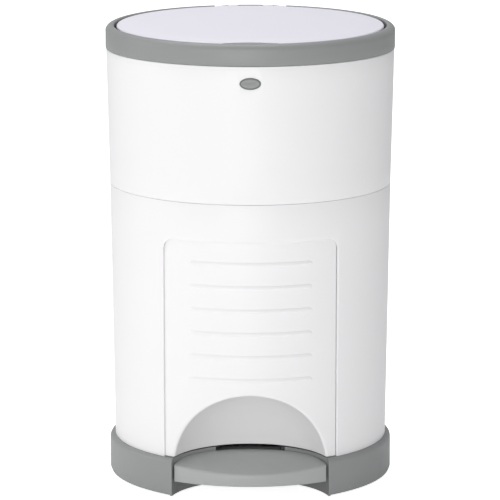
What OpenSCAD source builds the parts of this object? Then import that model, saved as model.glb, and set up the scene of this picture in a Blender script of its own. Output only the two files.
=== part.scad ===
// Pedal-operated nappy bin with a film refill: a round body in two tapered shells
// on a skirted base, a front door with a toe scoop, a foot pedal, a lid, and two
// trap flaps under a hopper that hinges up for changing the refill.
// Millimetres, +Z up, front towards -Y, origin on the floor under the body's axis.

/* [Overall] */
// Height from the floor to the crown of the closed lid
height = 520; // [490:5:630]
// Outer diameter of the body at the seam between its two shells
body_d = 318.2; // [312:0.2:384]
// Height of the seam between the lower and upper shell
seam_z = 336; // [324:1:346]
// Loss of radius from the seam down to the base
low_taper = 4.1; // [2:0.1:6]
// Gain of radius from the seam up to the top ring
up_taper = 3.2; // [1:0.1:5]

/* [Shells] */
// Wall of the moulded shells
wall = 2.5; // [2:0.1:3]
// Height of the grey top ring, with the lid's crown
ring_h = 31; // [29:1:34]
// How far the top ring stands proud of the upper shell
ring_proud = 0.7; // [0.5:0.1:3]
// Breadth of the top ring's rim
rim_w = 9.5; // [8:0.5:10]
// Forward slope of the rim and the lid, in degrees
rim_tilt = 0.8; // [0:0.1:1]
// Height of the base skirt
skirt_h = 44; // [42:1:50]
// How far the base skirt stands proud of the lower shell
skirt_proud = 6; // [4:0.5:8]

/* [Front door] */
// Half of the door's width
door_half = 95; // [88:1:100]
// Height of the door's top edge
door_top = 293.5; // [250:0.5:300]
// Radius of the door's top corners
door_corner = 10; // [6:1:16]
// How far the door's face lies below the shell's face
door_recess = 1.5; // [1:0.1:2]
// Gap round the door
door_gap = 1.2; // [1.2:0.1:2]
// Number of grip ridges on the door
ridge_count = 6; // [0:1:7]
// Height of the lowest grip ridge
ridge_z = 137.5; // [130:0.5:150]
// Distance from one grip ridge to the next
ridge_step = 26.2; // [12:0.2:26.6]

/* [Pedal] */
// Radius of the niche that the pedal sits in
niche_r = 91; // [80:1:92]
// Gap between the pedal and the niche
pedal_gap = 2; // [1.5:0.1:3]
// Height of the pedal's underside above the floor
pedal_z = 18.5; // [17.5:0.5:20]
// Press angle of the pedal
pedal_press = 6; // [4:0.5:6]

/* [Lid and collar] */
// Diameter of the lid's disc
lid_d = 301; // [299:1:302]
// Opening angle of the lid
lid_open = 75; // [60:5:80]
// Radius of the hopper's mouth
mouth_r = 116; // [104:1:118]
// Radius of the hopper's throat
throat_r = 66; // [60:1:68]
// Height from the hopper's deck down to the trap shafts
trap_drop = 87; // [84:1:96]
// Opening angle of the trap flaps
trap_open = 75; // [60:5:80]

/* [Refill] */
// Bore of the refill tray
refill_bore_r = 85.5; // [81:0.5:87]
// Outer radius of the refill tray's wall
refill_r = 108; // [103:0.5:112]
// Height of the refill tray
refill_h = 40; // [25:1:42]

/* [Button] */
// Width of the oval release button
button_w = 20.6; // [18:0.2:28]
// Height of the oval release button
button_h = 10.6; // [10:0.2:12.4]
// Distance from the top ring down to the button's centre
button_drop = 19; // [18.5:0.5:24]
// Travel of the button
button_travel = 3; // [2:0.5:3.5]

/* [Fits] */
// Radial clearance of a shaft that turns in a bore
run_fit = 0.06; // [0.02:0.01:0.1]
// Clearance between pieces that move past each other
move_gap = 0.5; // [0.3:0.1:0.8]
// Clearance between fixed pieces
seat_gap = 0.05; // [0.02:0.01:0.1]
// Radius of the pedal's axle
axle_r = 3; // [2.5:0.1:4]
// Radius of the collar's hinge pin
collar_pin_r = 2; // [1.5:0.1:2.5]
// Radius of the lid's hinge pin
lid_pin_r = 1.8; // [1.5:0.1:2]
// Radius of the trap shafts
trap_pin_r = 2; // [1.5:0.1:2.5]
// Radius of the door's hinge pins
door_pin_r = 1.5; // [1.2:0.1:1.8]
// Shank radius of the screws
screw_r = 1.5; // [1.2:0.1:1.8]

/* [Hidden] */
$fn = 96;
far = 1000;

// Body outline
body_r = body_d / 2;
low_r0 = body_r - low_taper;
up_r1 = body_r + up_taper;
skirt_r = low_r0 + skirt_proud;
ring_r = up_r1 + ring_proud;
ring_z = height - ring_h;
seam_gap = 0.5;
function low_r(z) = low_r0 + low_taper * (z - skirt_h) / (seam_z - skirt_h);
function up_r(z) = body_r + up_taper * (z - seam_z) / (ring_z - seam_z);

// Base
foot_h = 1.5;
foot_r = 9;
foot_at = skirt_r - 21;
floor_z = 4;
floor_t = 2.5;
base_top = floor_z + floor_t;
skirt_round = 5.5;
spigot_h = 8;
spigot_r = low_r0 - wall - seat_gap;
spigot_t = 2;
boss_r = 4;
shell_boss_at = spigot_r - spigot_t - boss_r - 0.5;
shell_boss_h = 18;

// Pedal, its niche and the toe scoop
niche_y = -(skirt_r - 2);
niche_t = 2.5;
niche_top = skirt_h - 0.5;
scoop_r = niche_r + 0.5;
scoop_z = 29;
pad_front_r = skirt_r - 3;
pad_rear_r = niche_r - pedal_gap;
pad_h = 21.5;
pad_t = 3;
pad_crown_r = 280;
pad_crown_y = niche_y + 67;
pad_crown_z = pedal_z + pad_h - pad_crown_r;
function pad_top(y) = pad_crown_z + sqrt(pad_crown_r * pad_crown_r - pow(y - pad_crown_y, 2));
pad_screw_x = 20;
pad_screw_y = niche_y + 47;
pad_slot_y = niche_y + 69;
pivot_y = -15;
pivot_z = pedal_z + 3.5;
lever_t = 6;
lever_z = pivot_z - lever_t / 2;
lever_w = 60;
lever_front_y = niche_y + 33;
lever_tail_w = 26;
lever_hub_r = 6;
lever_hub_w = 68;
axle_post_t = 6;
axle_l = lever_hub_w + 2 * (axle_post_t + 2);
slot_w = lever_w + 18;
slot_z = 11;

// Rim and lid: both lie on a plane that slopes a little forwards
lid_r = lid_d / 2;
lid_rise = 4.5;
rim_z = height - lid_rise;
crown_drop = 0.7;
lid_t = 4.5;
seal_h = 4.2;
notch_half = 33;
notch_deep = 6.5;
function rim_at(y) = rim_z + y * tan(rim_tilt);

// Lid hinge and the rod that works it
lid_knuckle_r = 4.6;
lid_knuckle_w = 12;
lid_post_x = 20.5;
lid_barrel_half = 40;
lid_y = lid_r - 0.5;
lid_z = rim_at(lid_y) - lid_knuckle_r;
rod_y = lid_y - 12;
rod_t = 6;
rod_w = 10;
rod_lift = (rod_y - pivot_y) * sin(pedal_press);
heel_r = rod_lift / (2 * sin(lid_open / 2));
nose_r = 2.5;
nose_gap = 0.8;
nose_y = lid_y - heel_r * cos(lid_open / 2);
nose_z = lid_z - rod_lift / 2;
rod_z0 = lever_z + lever_t + nose_gap;
rod_z1 = nose_z - nose_r - nose_gap;
lever_tail_y = rod_y + 6;

// Collar hinge
deck_t = 2.5;
barrel_r = 6;
collar_y = ring_r - barrel_r;
collar_z = ring_z - 7;
notch_w = 90;
notch_z = collar_z - 13;
knuckle_w = 14;
collar_pin_l = 5 * knuckle_w - 2;
rod_front = rod_y - rod_t / 2;
slot_y0 = collar_y - sqrt(pow(collar_y - rod_front + 1, 2) + pow(rod_z1 - collar_z, 2));

// Hopper and traps
trap_z = ring_z - trap_drop;
frame_r = throat_r + 12;
frame_h = 14;
frame_z = trap_z - 6;
throat_z = frame_z + frame_h;
trap_x = throat_r - 6;
flap_r = throat_r - 1.5;
flap_t = 2.5;
flap_side = trap_x - 12.5;
flap_web = 22;
hub_r = 4;
trap_heel_r = rod_lift / (2 * sin(trap_open / 2));
yoke_y0 = frame_r + 3;
yoke_y1 = yoke_y0 + 7;
yoke_pad_x = trap_x + 8.6;
yoke_t = 4;
yoke_top = trap_z - rod_lift / 2 - nose_r - nose_gap;
shaft_y1 = yoke_y1;
shaft_y0 = -sqrt(frame_r * frame_r - trap_x * trap_x) - 2;
bearing_y = sqrt(frame_r * frame_r - trap_x * trap_x);

// Shelf between the shells, and the refill on it
shelf_z = seam_z + 4;
shelf_t = 2.5;
shelf_r = body_r - wall - 0.35;
shelf_low = seam_z - 10;
shelf_bore = refill_r + 1;
tray_flange_r = refill_r + 6;
tray_z = shelf_z + shelf_t;
tray_t = 1.6;
shelf_boss_at = shelf_r - wall - boss_r - 0.6;

// Cover over the pedal works, and the channel round the rod
cover_z = skirt_h + 3;
cover_t = 2.5;
cover_r = shell_boss_at + 1.5;
cover_cut_r = niche_r + 5;
channel_w = 24;
channel_t = 1.8;
channel_y = rod_y - rod_t / 2 - 3 - channel_t;
channel_back = spigot_r - spigot_t - 0.5;

// Door hinge axis: parallel to the shell's slope, just behind the door's face
pin_back = 3.4;
door_z0 = skirt_h + door_gap;
door_x = door_half - 3.5;
function face_y(z, x) = -sqrt(pow(low_r(z) - door_recess, 2) - x * x);
door_y0 = face_y(door_z0, door_x) + pin_back;
door_y1 = face_y(door_top, door_x) + pin_back;
door_tilt = atan((door_y0 - door_y1) / (door_top - door_z0));
door_edge_r = door_half - door_x + 0.8;
door_boss_r = 3;
door_axis_l = (door_top - door_z0) / cos(door_tilt);

// Button
button_z = ring_z - button_drop;
button_y = -up_r(button_z);
bezel_w = 1.2;
button_gap = 0.35;
ledge_z = ring_z - 7;
ledge_t = 3;
ledge_r = up_r(ledge_z) - wall - 4;
tongue_r = ledge_r - 2;
tongue_t = 2.2;
tongue_w = 14;
stem_r = 3;
stem_l = -button_y - tongue_r - move_gap;

// ---- shapes used by several pieces ----

// Tapered tube from z0 to z1
module cone_shell(z0, z1, r0, r1, t) {
    difference() {
        translate([0, 0, z0]) cylinder(h = z1 - z0, r1 = r0, r2 = r1);
        translate([0, 0, z0 - 1])
            cylinder(h = z1 - z0 + 2, r1 = r0 - t - (r1 - r0) / (z1 - z0),
                     r2 = r1 - t + (r1 - r0) / (z1 - z0));
    }
}

module tube(r, bore, h) {
    difference() {
        cylinder(h = h, r = r);
        translate([0, 0, -1]) cylinder(h = h + 2, r = bore);
    }
}

// Box centred in x, from corner y0, z0
module bar(w, y0, y1, z0, z1) {
    translate([-w / 2, y0, z0]) cube([w, y1 - y0, z1 - z0]);
}

// Cylinder along X, centred on x
module pin_x(r, l) {
    rotate([0, 90, 0]) translate([0, 0, -l / 2]) cylinder(h = l, r = r);
}

// Cylinder along +Y from y0 to y1
module rod_y_dir(r, y0, y1) {
    translate([0, y1, 0]) rotate([90, 0, 0]) cylinder(h = y1 - y0, r = r);
}

// Pan-head screw, head up, shank downwards from the seat at z = 0
module screw(l) {
    cylinder(h = 2, r = screw_r * 1.9);
    translate([0, 0, -l]) cylinder(h = l + 0.5, r = screw_r);
}

module quarter_turns(at, first = 45) {
    for (a = [first : 90 : first + 270])
        rotate([0, 0, a]) translate([at, 0, 0]) children();
}

// Front door's outline, grown by g
module door_outline(g) {
    w = door_half + g;
    top = door_top + g;
    r = door_corner + g;
    arc = [for (a = [0 : 15 : 90]) [w - r + r * cos(a), top - r + r * sin(a)]];
    left = [for (a = [90 : -15 : 0]) [-(w - r + r * cos(a)), top - r + r * sin(a)]];
    polygon(concat([[-w, door_z0 - g], [w, door_z0 - g]], arc, left));
}

module door_block(g) {
    rotate([90, 0, 0]) translate([0, 0, 60]) linear_extrude(far) door_outline(g);
}

// Places a shape on the door's hinge axis, z measured from the door's foot
module on_door_axis() {
    translate([door_x, door_y0, door_z0]) rotate([door_tilt, 0, 0]) children();
}

module niche_cut(r, z0, z1) {
    translate([0, niche_y, z0]) cylinder(h = z1 - z0, r = r);
}

// Oval outline with half axes rx and rz
module oval(rx, rz) {
    polygon([for (a = [0 : 10 : 350]) [rx * cos(a), rz * sin(a)]]);
}

// Oval bar along Y at the button, from y0 to y1
module button_bar(grow, y0, y1) {
    translate([0, y1, button_z]) rotate([90, 0, 0])
        linear_extrude(y1 - y0) oval(button_w / 2 + grow, button_h / 2 + grow);
}

// ---- base and pedal works ----

module base_profile() {
    arc = [for (a = [0 : 15 : 90])
        [skirt_r - skirt_round * (1 - cos(a)), skirt_h - skirt_round * (1 - sin(a))]];
    inner = skirt_r - wall;
    polygon(concat(
        [[skirt_r - 4, foot_h], [skirt_r, foot_h + 4]], arc,
        [[spigot_r - spigot_t, skirt_h], [spigot_r - spigot_t, skirt_h - wall],
         [inner - 4, skirt_h - wall], [inner, skirt_h - wall - 4],
         [inner, base_top], [0, base_top], [0, floor_z], [inner - 4, floor_z],
         [inner - 4, foot_h]]));
}

module base() {
    color([0.58, 0.59, 0.59]) {
        difference() {
            union() {
                rotate_extrude() base_profile();
                difference() {
                    translate([0, 0, skirt_h - 0.1])
                        tube(spigot_r, spigot_r - spigot_t, spigot_h);
                    bar(2 * door_half + 14, -far, 0, 0, far);
                }
                quarter_turns(foot_at) translate([0, 0, foot_h])
                    cylinder(h = base_top - foot_h, r = foot_r + 2);
                quarter_turns(shell_boss_at) translate([0, 0, floor_z])
                    cylinder(h = skirt_h - floor_z - 0.2, r = boss_r);
                for (s = [-1, 1]) translate([s * 58, 70, floor_z])
                    cylinder(h = cover_z - floor_z, r = boss_r);
                for (s = [-1, 1]) translate([s * 100, -70, floor_z])
                    cylinder(h = cover_z - floor_z, r = boss_r);
                for (s = [-1, 1]) translate([s * (lever_hub_w / 2 + 1 + axle_post_t / 2), 0, 0])
                    bar(axle_post_t, pivot_y - 9, pivot_y + 9, floor_z, pivot_z + 8);
                on_door_axis() translate([0, 0, -14]) cylinder(h = 12.5 - door_gap, r = boss_r);
            }
            niche_cut(niche_r, 0, far);
            translate([0, pivot_y, pivot_z]) pin_x(axle_r + seat_gap, axle_l + 4);
            on_door_axis() translate([0, 0, -12])
                cylinder(h = 20, r = door_pin_r + run_fit);
            quarter_turns(foot_at) translate([0, 0, foot_h - 1]) cylinder(h = 3, r = foot_r);
            quarter_turns(shell_boss_at) cylinder(h = skirt_h + 1, r = screw_r + 0.2);
            quarter_turns(shell_boss_at) cylinder(h = floor_z + 8, r = screw_r * 2.1);
            for (x = [-58, 58]) translate([x, 70, cover_z - 14])
                cylinder(h = 20, r = screw_r + seat_gap);
            for (x = [-100, 100]) translate([x, -70, cover_z - 14])
                cylinder(h = 20, r = screw_r + seat_gap);
        }
        difference() {
            intersection() {
                translate([0, niche_y, foot_h])
                    tube(niche_r + niche_t, niche_r, niche_top - foot_h);
                cylinder(h = far, r = skirt_r - 0.6);
            }
            bar(slot_w, -far, 0, slot_z, far);
            bar(2 * far, niche_y - far, -low_r0, skirt_h - 8, far);
        }
    }
}

module base_feet() {
    color([0.2, 0.2, 0.2])
        quarter_turns(foot_at) cylinder(h = foot_h + 2, r = foot_r - seat_gap);
}

module pedal_axle() {
    color("silver") translate([0, pivot_y, pivot_z]) pin_x(axle_r, axle_l);
}

// Lens-shaped block of the pedal, drawn in by g all round, with its crowned top
module pad_block(g, z0) {
    intersection() {
        translate([0, 0, z0]) cylinder(h = 60, r = pad_front_r - g);
        translate([0, niche_y, z0]) cylinder(h = 60, r = pad_rear_r - g);
        translate([0, pad_crown_y, pad_crown_z]) pin_x(pad_crown_r - g, far);
    }
}

module pedal_pad() {
    color([0.57, 0.58, 0.58]) {
        difference() {
            pad_block(0, pedal_z);
            pad_block(pad_t, pedal_z - 1);
            bar(lever_w + 2, pad_slot_y, 0, pedal_z - 1, lever_z + lever_t + move_gap);
        }
        for (s = [-1, 1]) translate([s * pad_screw_x, pad_screw_y, lever_z + lever_t])
            difference() {
                cylinder(h = pad_top(pad_screw_y) - 1.5 - lever_z - lever_t, r = boss_r);
                translate([0, 0, -1]) cylinder(h = 8, r = screw_r + seat_gap);
            }
    }
}

module pedal_lever() {
    color([0.5, 0.52, 0.54]) difference() {
        union() {
            bar(lever_w, lever_front_y, pivot_y + 4, lever_z, lever_z + lever_t - seat_gap);
            bar(lever_tail_w, pivot_y, lever_tail_y, lever_z, lever_z + lever_t);
            bar(lever_tail_w - 8, pivot_y, lever_tail_y - 20, lever_z - 4, lever_z + 1);
            translate([0, pivot_y, pivot_z]) pin_x(lever_hub_r, lever_hub_w);
        }
        translate([0, pivot_y, pivot_z]) pin_x(axle_r + run_fit, lever_hub_w + 2);
        for (s = [-1, 1]) translate([s * pad_screw_x, pad_screw_y, 0])
            cylinder(h = 60, r = screw_r + 0.2);
    }
}

module pedal_screws() {
    color("dimgray") for (s = [-1, 1]) translate([s * pad_screw_x, pad_screw_y, lever_z])
        rotate([180, 0, 0]) screw(lever_t + 5);
}

module push_rod() {
    color([0.75, 0.76, 0.78]) {
        bar(rod_w, rod_y - rod_t / 2, rod_y + rod_t / 2, rod_z0, rod_z1);
        bar(rod_w + 8, rod_y - rod_t / 2, rod_y + rod_t / 2 + 2, rod_z0, rod_z0 + 5);
    }
}

module trap_yoke() {
    yoke_w = 2 * (trap_x + trap_heel_r + nose_r + 2);
    z0 = yoke_top - yoke_t;
    color([0.62, 0.63, 0.64]) difference() {
        union() {
            bar(yoke_w, yoke_y1 + 1, yoke_y1 + 8, z0, yoke_top);
            for (s = [0, 1]) mirror([s, 0, 0]) translate([yoke_pad_x, yoke_y0 + 0.5, z0])
                cube([yoke_w / 2 - yoke_pad_x, yoke_y1 - yoke_y0 + 3, yoke_t]);
            bar(rod_w + 8, yoke_y1 + 3, rod_y + rod_t / 2 + 4, z0, yoke_top);
            bar(rod_w + 8, rod_front - 4, rod_y + rod_t / 2 + 4, z0 - 8, yoke_top);
        }
        bar(rod_w + 2 * seat_gap, rod_front - seat_gap,
            rod_y + rod_t / 2 + seat_gap, z0 - 20, yoke_top + 5);
    }
}

module mech_cover() {
    color([0.9, 0.9, 0.9]) difference() {
        translate([0, 0, cover_z]) cylinder(h = cover_t, r = cover_r);
        niche_cut(cover_cut_r, 0, far);
        translate([door_x, door_y0, 0]) cylinder(h = far, r = 14);
        quarter_turns(shell_boss_at) cylinder(h = far, r = boss_r + 1);
        bar(rod_w + 12, rod_y - rod_t / 2 - 2, rod_y + rod_t / 2 + 3, 0, far);
        for (x = [-58, 58]) translate([x, 70, 0]) cylinder(h = far, r = screw_r + 0.2);
        for (x = [-100, 100]) translate([x, -70, 0]) cylinder(h = far, r = screw_r + 0.2);
    }
}

module cover_screws() {
    color("dimgray") {
        for (x = [-58, 58]) translate([x, 70, cover_z + cover_t]) screw(11);
        for (x = [-100, 100]) translate([x, -70, cover_z + cover_t]) screw(11);
    }
}

module rod_channel() {
    z0 = cover_z + cover_t;
    z1 = shelf_low - 2;
    color([0.88, 0.88, 0.88]) difference() {
        bar(channel_w, channel_y, channel_back, z0, z1);
        bar(channel_w - 2 * channel_t, channel_y + channel_t, far, z0 - 1, z1 + 1);
    }
}

// ---- shells ----

module shell_bosses(at, z0, z1, first) {
    difference() {
        quarter_turns(at, first) translate([0, 0, z0]) cylinder(h = z1 - z0, r = boss_r);
        quarter_turns(at, first) translate([0, 0, z0 - 1])
            cylinder(h = z1 - z0 + 2, r = screw_r + seat_gap);
    }
}

// Rib that ties a boss to the wall outside it
module boss_ribs(at, out, z0, z1, first) {
    quarter_turns(0, first) translate([at + boss_r - 1, -1.2, z0])
        cube([out - at - boss_r + 1, 2.4, z1 - z0]);
}

module lower_shell() {
    top = seam_z - seam_gap / 2;
    lug_z = door_top + door_gap;
    bevel = 2.4;
    color([0.95, 0.95, 0.95]) {
        difference() {
            union() {
                cone_shell(skirt_h, top, low_r0, low_r(top), wall);
                intersection() {
                    union() {
                        on_door_axis() translate([0, 0, lug_z - door_z0 + 0.2])
                            cylinder(h = 9, r = boss_r + 1);
                        on_door_axis() translate([-boss_r - 1, -20, lug_z - door_z0 + 0.2])
                            cube([2 * boss_r + 2, 20, 9]);
                    }
                    translate([0, 0, skirt_h]) cylinder(
                        h = top - skirt_h, r1 = low_r0 - wall / 2, r2 = low_r(top) - wall / 2);
                }
            }
            door_block(door_gap);
            bar(2 * (door_half + door_gap), -far, -60, 0, door_z0 + 40);
            for (s = [-1, 1]) intersection() {
                jamb_bevel(s, bevel, lug_z - 1);
                door_block(door_gap + bevel + 2);
            }
            on_door_axis() translate([0, 0, door_axis_l - 2])
                cylinder(h = 18, r = door_pin_r + run_fit);
        }
        shell_bosses(shell_boss_at, skirt_h, skirt_h + shell_boss_h, 45);
        boss_ribs(shell_boss_at, low_r0 - wall / 2, skirt_h + spigot_h + 1,
                  skirt_h + shell_boss_h, 45);
        shell_bosses(shelf_boss_at, shelf_low - 16, shelf_low, 45);
        boss_ribs(shelf_boss_at, low_r(shelf_low) - wall, shelf_low - 16, shelf_low - 1, 45);
        door_stop();
    }
}

// Sloping face along an upright edge of the door's opening
module jamb_bevel(side, depth, z1) {
    corner_w = 9;
    x0 = door_half + door_gap;
    y0 = face_y(door_z0, x0);
    mirror([side < 0 ? 1 : 0, 0, 0]) translate([x0, y0, door_z0 - 2])
        rotate([door_tilt, 0, 0]) linear_extrude(z1 - door_z0 + 2)
            polygon([[-corner_w, 0.4 + wall], [-0.01, 0.4 + wall],
                     [depth, -depth], [-corner_w, -depth - 6]]);
}

// Strip behind the door's free edge, which the closed door rests against
module door_stop() {
    z0 = skirt_h + shell_boss_h + 20;
    z1 = door_top - door_corner;
    x0 = door_half + door_gap;
    back = door_recess + wall + 0.4;
    translate([-x0 - 3, -far, 0]) intersection() {
        translate([x0 + 3, far, 0]) {
            band(z0, z1, back, back + wall);
            intersection() {
                band(z0, z1, wall / 2, back + wall);
                translate([-x0 - 3, -far, z0]) cube([2.6, far, z1 - z0]);
            }
        }
        translate([0, 0, z0]) cube([7, far, z1 - z0]);
    }
}

// Part of the lower shell's cone between two depths below its face
module band(z0, z1, depth0, depth1) {
    cone_shell(z0, z1, low_r(z0) - depth0, low_r(z1) - depth0, depth1 - depth0);
}

module upper_shell() {
    z0 = seam_z + seam_gap / 2;
    z1 = ring_z - 0.4;
    color([0.96, 0.96, 0.96]) {
        difference() {
            cone_shell(z0, z1, up_r(z0), up_r(z1), wall);
            bar(notch_w, 0, far, notch_z, far);
            button_bar(bezel_w + 0.2, -far, -60);
        }
        shell_bosses(shelf_boss_at, shelf_z + shelf_t, shelf_z + shelf_t + 16, 0);
        boss_ribs(shelf_boss_at, up_r(z0) - wall / 2, shelf_z + shelf_t + 7,
                  shelf_z + shelf_t + 16, 0);
        latch_ledge();
    }
}

// Ledge that the collar's latch tongue hooks under
module latch_ledge() {
    intersection() {
        translate([0, 0, ledge_z]) tube(up_r(ledge_z) - wall / 2, ledge_r, ledge_t);
        bar(46, -far, -60, ledge_z - 1, ledge_z + ledge_t + 1);
    }
}

module shelf_ring() {
    color([0.86, 0.86, 0.86]) difference() {
        union() {
            translate([0, 0, shelf_z]) tube(shelf_r, shelf_bore, shelf_t);
            translate([0, 0, shelf_low]) tube(shelf_r, shelf_r - wall, shelf_z - shelf_low + 8);
            quarter_turns(shelf_boss_at) translate([0, 0, shelf_low])
                cylinder(h = shelf_z - shelf_low + 1, r = boss_r);
        }
        quarter_turns(shelf_boss_at) translate([0, 0, shelf_low - 1])
            cylinder(h = far, r = screw_r + 0.2);
        quarter_turns(shelf_boss_at, 0) cylinder(h = far, r = screw_r + 0.2);
        bar(rod_w + 8, rod_y - rod_t / 2 - 2, rod_y + rod_t / 2 + 3, 0, far);
    }
}

module shell_screws() {
    color("dimgray") quarter_turns(shell_boss_at) translate([0, 0, floor_z + 8])
        rotate([180, 0, 0]) screw(skirt_h - floor_z + 2);
}

module shelf_screws() {
    color("dimgray") {
        quarter_turns(shelf_boss_at) translate([0, 0, tray_z]) screw(tray_z - shelf_low + 10);
        quarter_turns(shelf_boss_at, 0) translate([0, 0, shelf_z])
            rotate([180, 0, 0]) screw(shelf_t + 11);
    }
}

// ---- refill and cutter ----

module refill_tray() {
    color([0.3, 0.55, 0.75]) translate([0, 0, tray_z]) {
        tube(tray_flange_r, refill_bore_r, tray_t);
        tube(refill_r, refill_r - tray_t, refill_h - 4);
        tube(refill_bore_r + tray_t, refill_bore_r, refill_h - 8);
    }
}

module film_pack() {
    pleats = 6;
    z0 = tray_z + tray_t + 0.2;
    pitch = (refill_h - tray_t - 8) / pleats;
    r0 = refill_bore_r + tray_t + 1;
    r1 = refill_r - tray_t - 1;
    color([0.93, 0.93, 0.96]) rotate_extrude() polygon(concat(
        [for (i = [0 : pleats - 1], k = [0, 1])
            [r1 - (k == 0 ? 1.2 : 0), z0 + (i + k / 2) * pitch]],
        [[r1 - 1.2, z0 + pleats * pitch], [r0 + 1.2, z0 + pleats * pitch]],
        [for (i = [pleats - 1 : -1 : 0], k = [1, 0])
            [r0 + (k == 0 ? 1.2 : 0), z0 + (i + k / 2) * pitch]]));
}

cutter_y = -(shelf_bore + 5);
module cutter_body() {
    color([0.5, 0.51, 0.52]) difference() {
        bar(46, cutter_y - 9, cutter_y + 9, shelf_z - 9, shelf_z - 0.1);
        bar(26, cutter_y - 20, cutter_y + 2, shelf_z - 7, shelf_z - 3);
        bar(18, cutter_y - 6, cutter_y + 5, shelf_z - 4, shelf_z - 2);
    }
}

module cutter_blade() {
    color("silver") bar(17.6, cutter_y - 5.8, cutter_y + 4.8, shelf_z - 3, shelf_z - 2.2);
}

// ---- collar hinge, collar and hopper ----

module hinge_bracket() {
    zc = collar_z - barrel_r - 1;
    rb = up_r(notch_z - 22) - wall - 0.3;
    color([0.8, 0.8, 0.8]) difference() {
        union() {
            intersection() {
                bar(notch_w + 20, collar_y - 12, far, notch_z - 22, zc);
                translate([0, 0, notch_z - 30]) tube(rb, rb - 4, 60);
            }
            for (i = [-1, 1]) translate([i * knuckle_w, 0, 0]) {
                bar(knuckle_w - 1, collar_y - barrel_r, collar_y + barrel_r,
                    notch_z + 0.5, collar_z);
                bar(knuckle_w - 1, rb - 5, collar_y + barrel_r, notch_z - 2 + 2.5, zc);
                translate([0, collar_y, collar_z]) pin_x(barrel_r, knuckle_w - 1);
            }
        }
        translate([0, collar_y, collar_z]) pin_x(collar_pin_r + seat_gap, notch_w + 4);
        for (x = [-38, 38]) translate([x, 0, notch_z - 12])
            rod_y_dir(screw_r + 0.2, 100, far);
    }
}

module bracket_screws() {
    rb = up_r(notch_z - 22) - wall - 4.3;
    color("dimgray") for (x = [-38, 38])
        translate([x, sqrt(rb * rb - x * x) - 1, notch_z - 12]) rotate([90, 0, 0]) screw(4.6);
}

module collar_hinge_pin() {
    color("silver") translate([0, collar_y, collar_z]) pin_x(collar_pin_r, collar_pin_l);
}

// Places a shape on the sloping plane of the rim, z measured from the lid's edge
module on_rim() {
    translate([0, 0, rim_z]) rotate([rim_tilt, 0, 0]) children();
}

module top_ring() {
    round_r = 8;
    seam_turn = 37;
    in_r = ring_r - rim_w;
    hollow_z = rim_at(-ring_r) - crown_drop - 5;
    lip = [[in_r - 4, -crown_drop - 2.2], [in_r, -crown_drop - 1.6],
           [in_r + 0.4, -crown_drop - 0.6]];
    crown = [for (a = [90 : -15 : 15])
        [ring_r + 0.6 - round_r * (1 - cos(a)), -crown_drop - round_r * (1 - sin(a))]];
    color([0.6, 0.61, 0.6]) difference() {
        translate([0, 0, ring_z]) tube(ring_r, in_r, ring_h + 3);
        on_rim() rotate([0, 0, seam_turn]) rotate_extrude() polygon(concat(
            lip, crown, [[ring_r + 4, -16], [ring_r + 4, 12], [in_r - 4, 12]]));
        rotate_extrude() polygon([
            [in_r + 2, ring_z - 1], [in_r + 2, hollow_z], [ring_r - 5.5, hollow_z],
            [ring_r - 3, hollow_z - 3], [ring_r - 3, ring_z - 1]]);
        bar(2 * lid_barrel_half + 3, 100, lid_y + lid_knuckle_r + 1, ring_z - 1, far);
    }
}

deck_r = ring_r - 5.5;
cup_t = 2.2;
lip_r = mouth_r + 0.6;

module hopper() {
    web_y = collar_y - 8;
    color([0.93, 0.93, 0.93]) difference() {
        union() {
            rotate_extrude() polygon([
                [mouth_r, ring_z], [deck_r, ring_z], [deck_r, ring_z - deck_t],
                [mouth_r + cup_t, ring_z - deck_t],
                [throat_r + cup_t, throat_z + 5], [throat_r + cup_t, throat_z],
                [throat_r, throat_z], [throat_r, throat_z + 5]]);
            for (x = [-2, 0, 2]) translate([x * knuckle_w, 0, 0]) {
                translate([0, collar_y, collar_z]) pin_x(barrel_r, knuckle_w - 1);
                bar(knuckle_w - 1, web_y - 2, collar_y, collar_z, ring_z);
            }
            for (s = [-1, 1]) translate([s * lid_post_x, 0, 0]) {
                bar(lid_knuckle_w, lid_y - lid_knuckle_r, lid_y + lid_knuckle_r,
                    ring_z - 0.1, lid_z);
                translate([0, lid_y, lid_z]) pin_x(lid_knuckle_r, lid_knuckle_w);
            }
            intersection() {
                on_rim() translate([0, 0, -ring_h])
                    tube(lip_r + cup_t, lip_r, ring_h - lid_t - seal_h - 0.4);
                translate([0, 0, ring_z - 0.1]) cylinder(h = far, r = ring_r);
            }
            translate([0, 0, throat_z]) tube(frame_r, throat_r, 4);
        }
        for (s = [-1, 1]) translate([s * knuckle_w, 0, 0])
            bar(knuckle_w + 0.02, web_y, far, 0, ring_z + 0.01);
        for (s = [-1, 1]) translate([s * (2.5 * knuckle_w + 10), 0, 0])
            bar(20, web_y, far, 0, ring_z + 0.01);
        translate([0, collar_y, collar_z]) pin_x(collar_pin_r + run_fit, notch_w + 4);
        translate([0, lid_y, lid_z]) pin_x(lid_pin_r + seat_gap, notch_w);
        bar(rod_w + 6, slot_y0, rod_y + rod_t / 2 + 2, ring_z - 10, ring_z + 1);
        quarter_turns(throat_r + 8) translate([0, 0, throat_z - 1])
            cylinder(h = 5 + cup_t, r = screw_r + seat_gap);
    }
}

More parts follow.
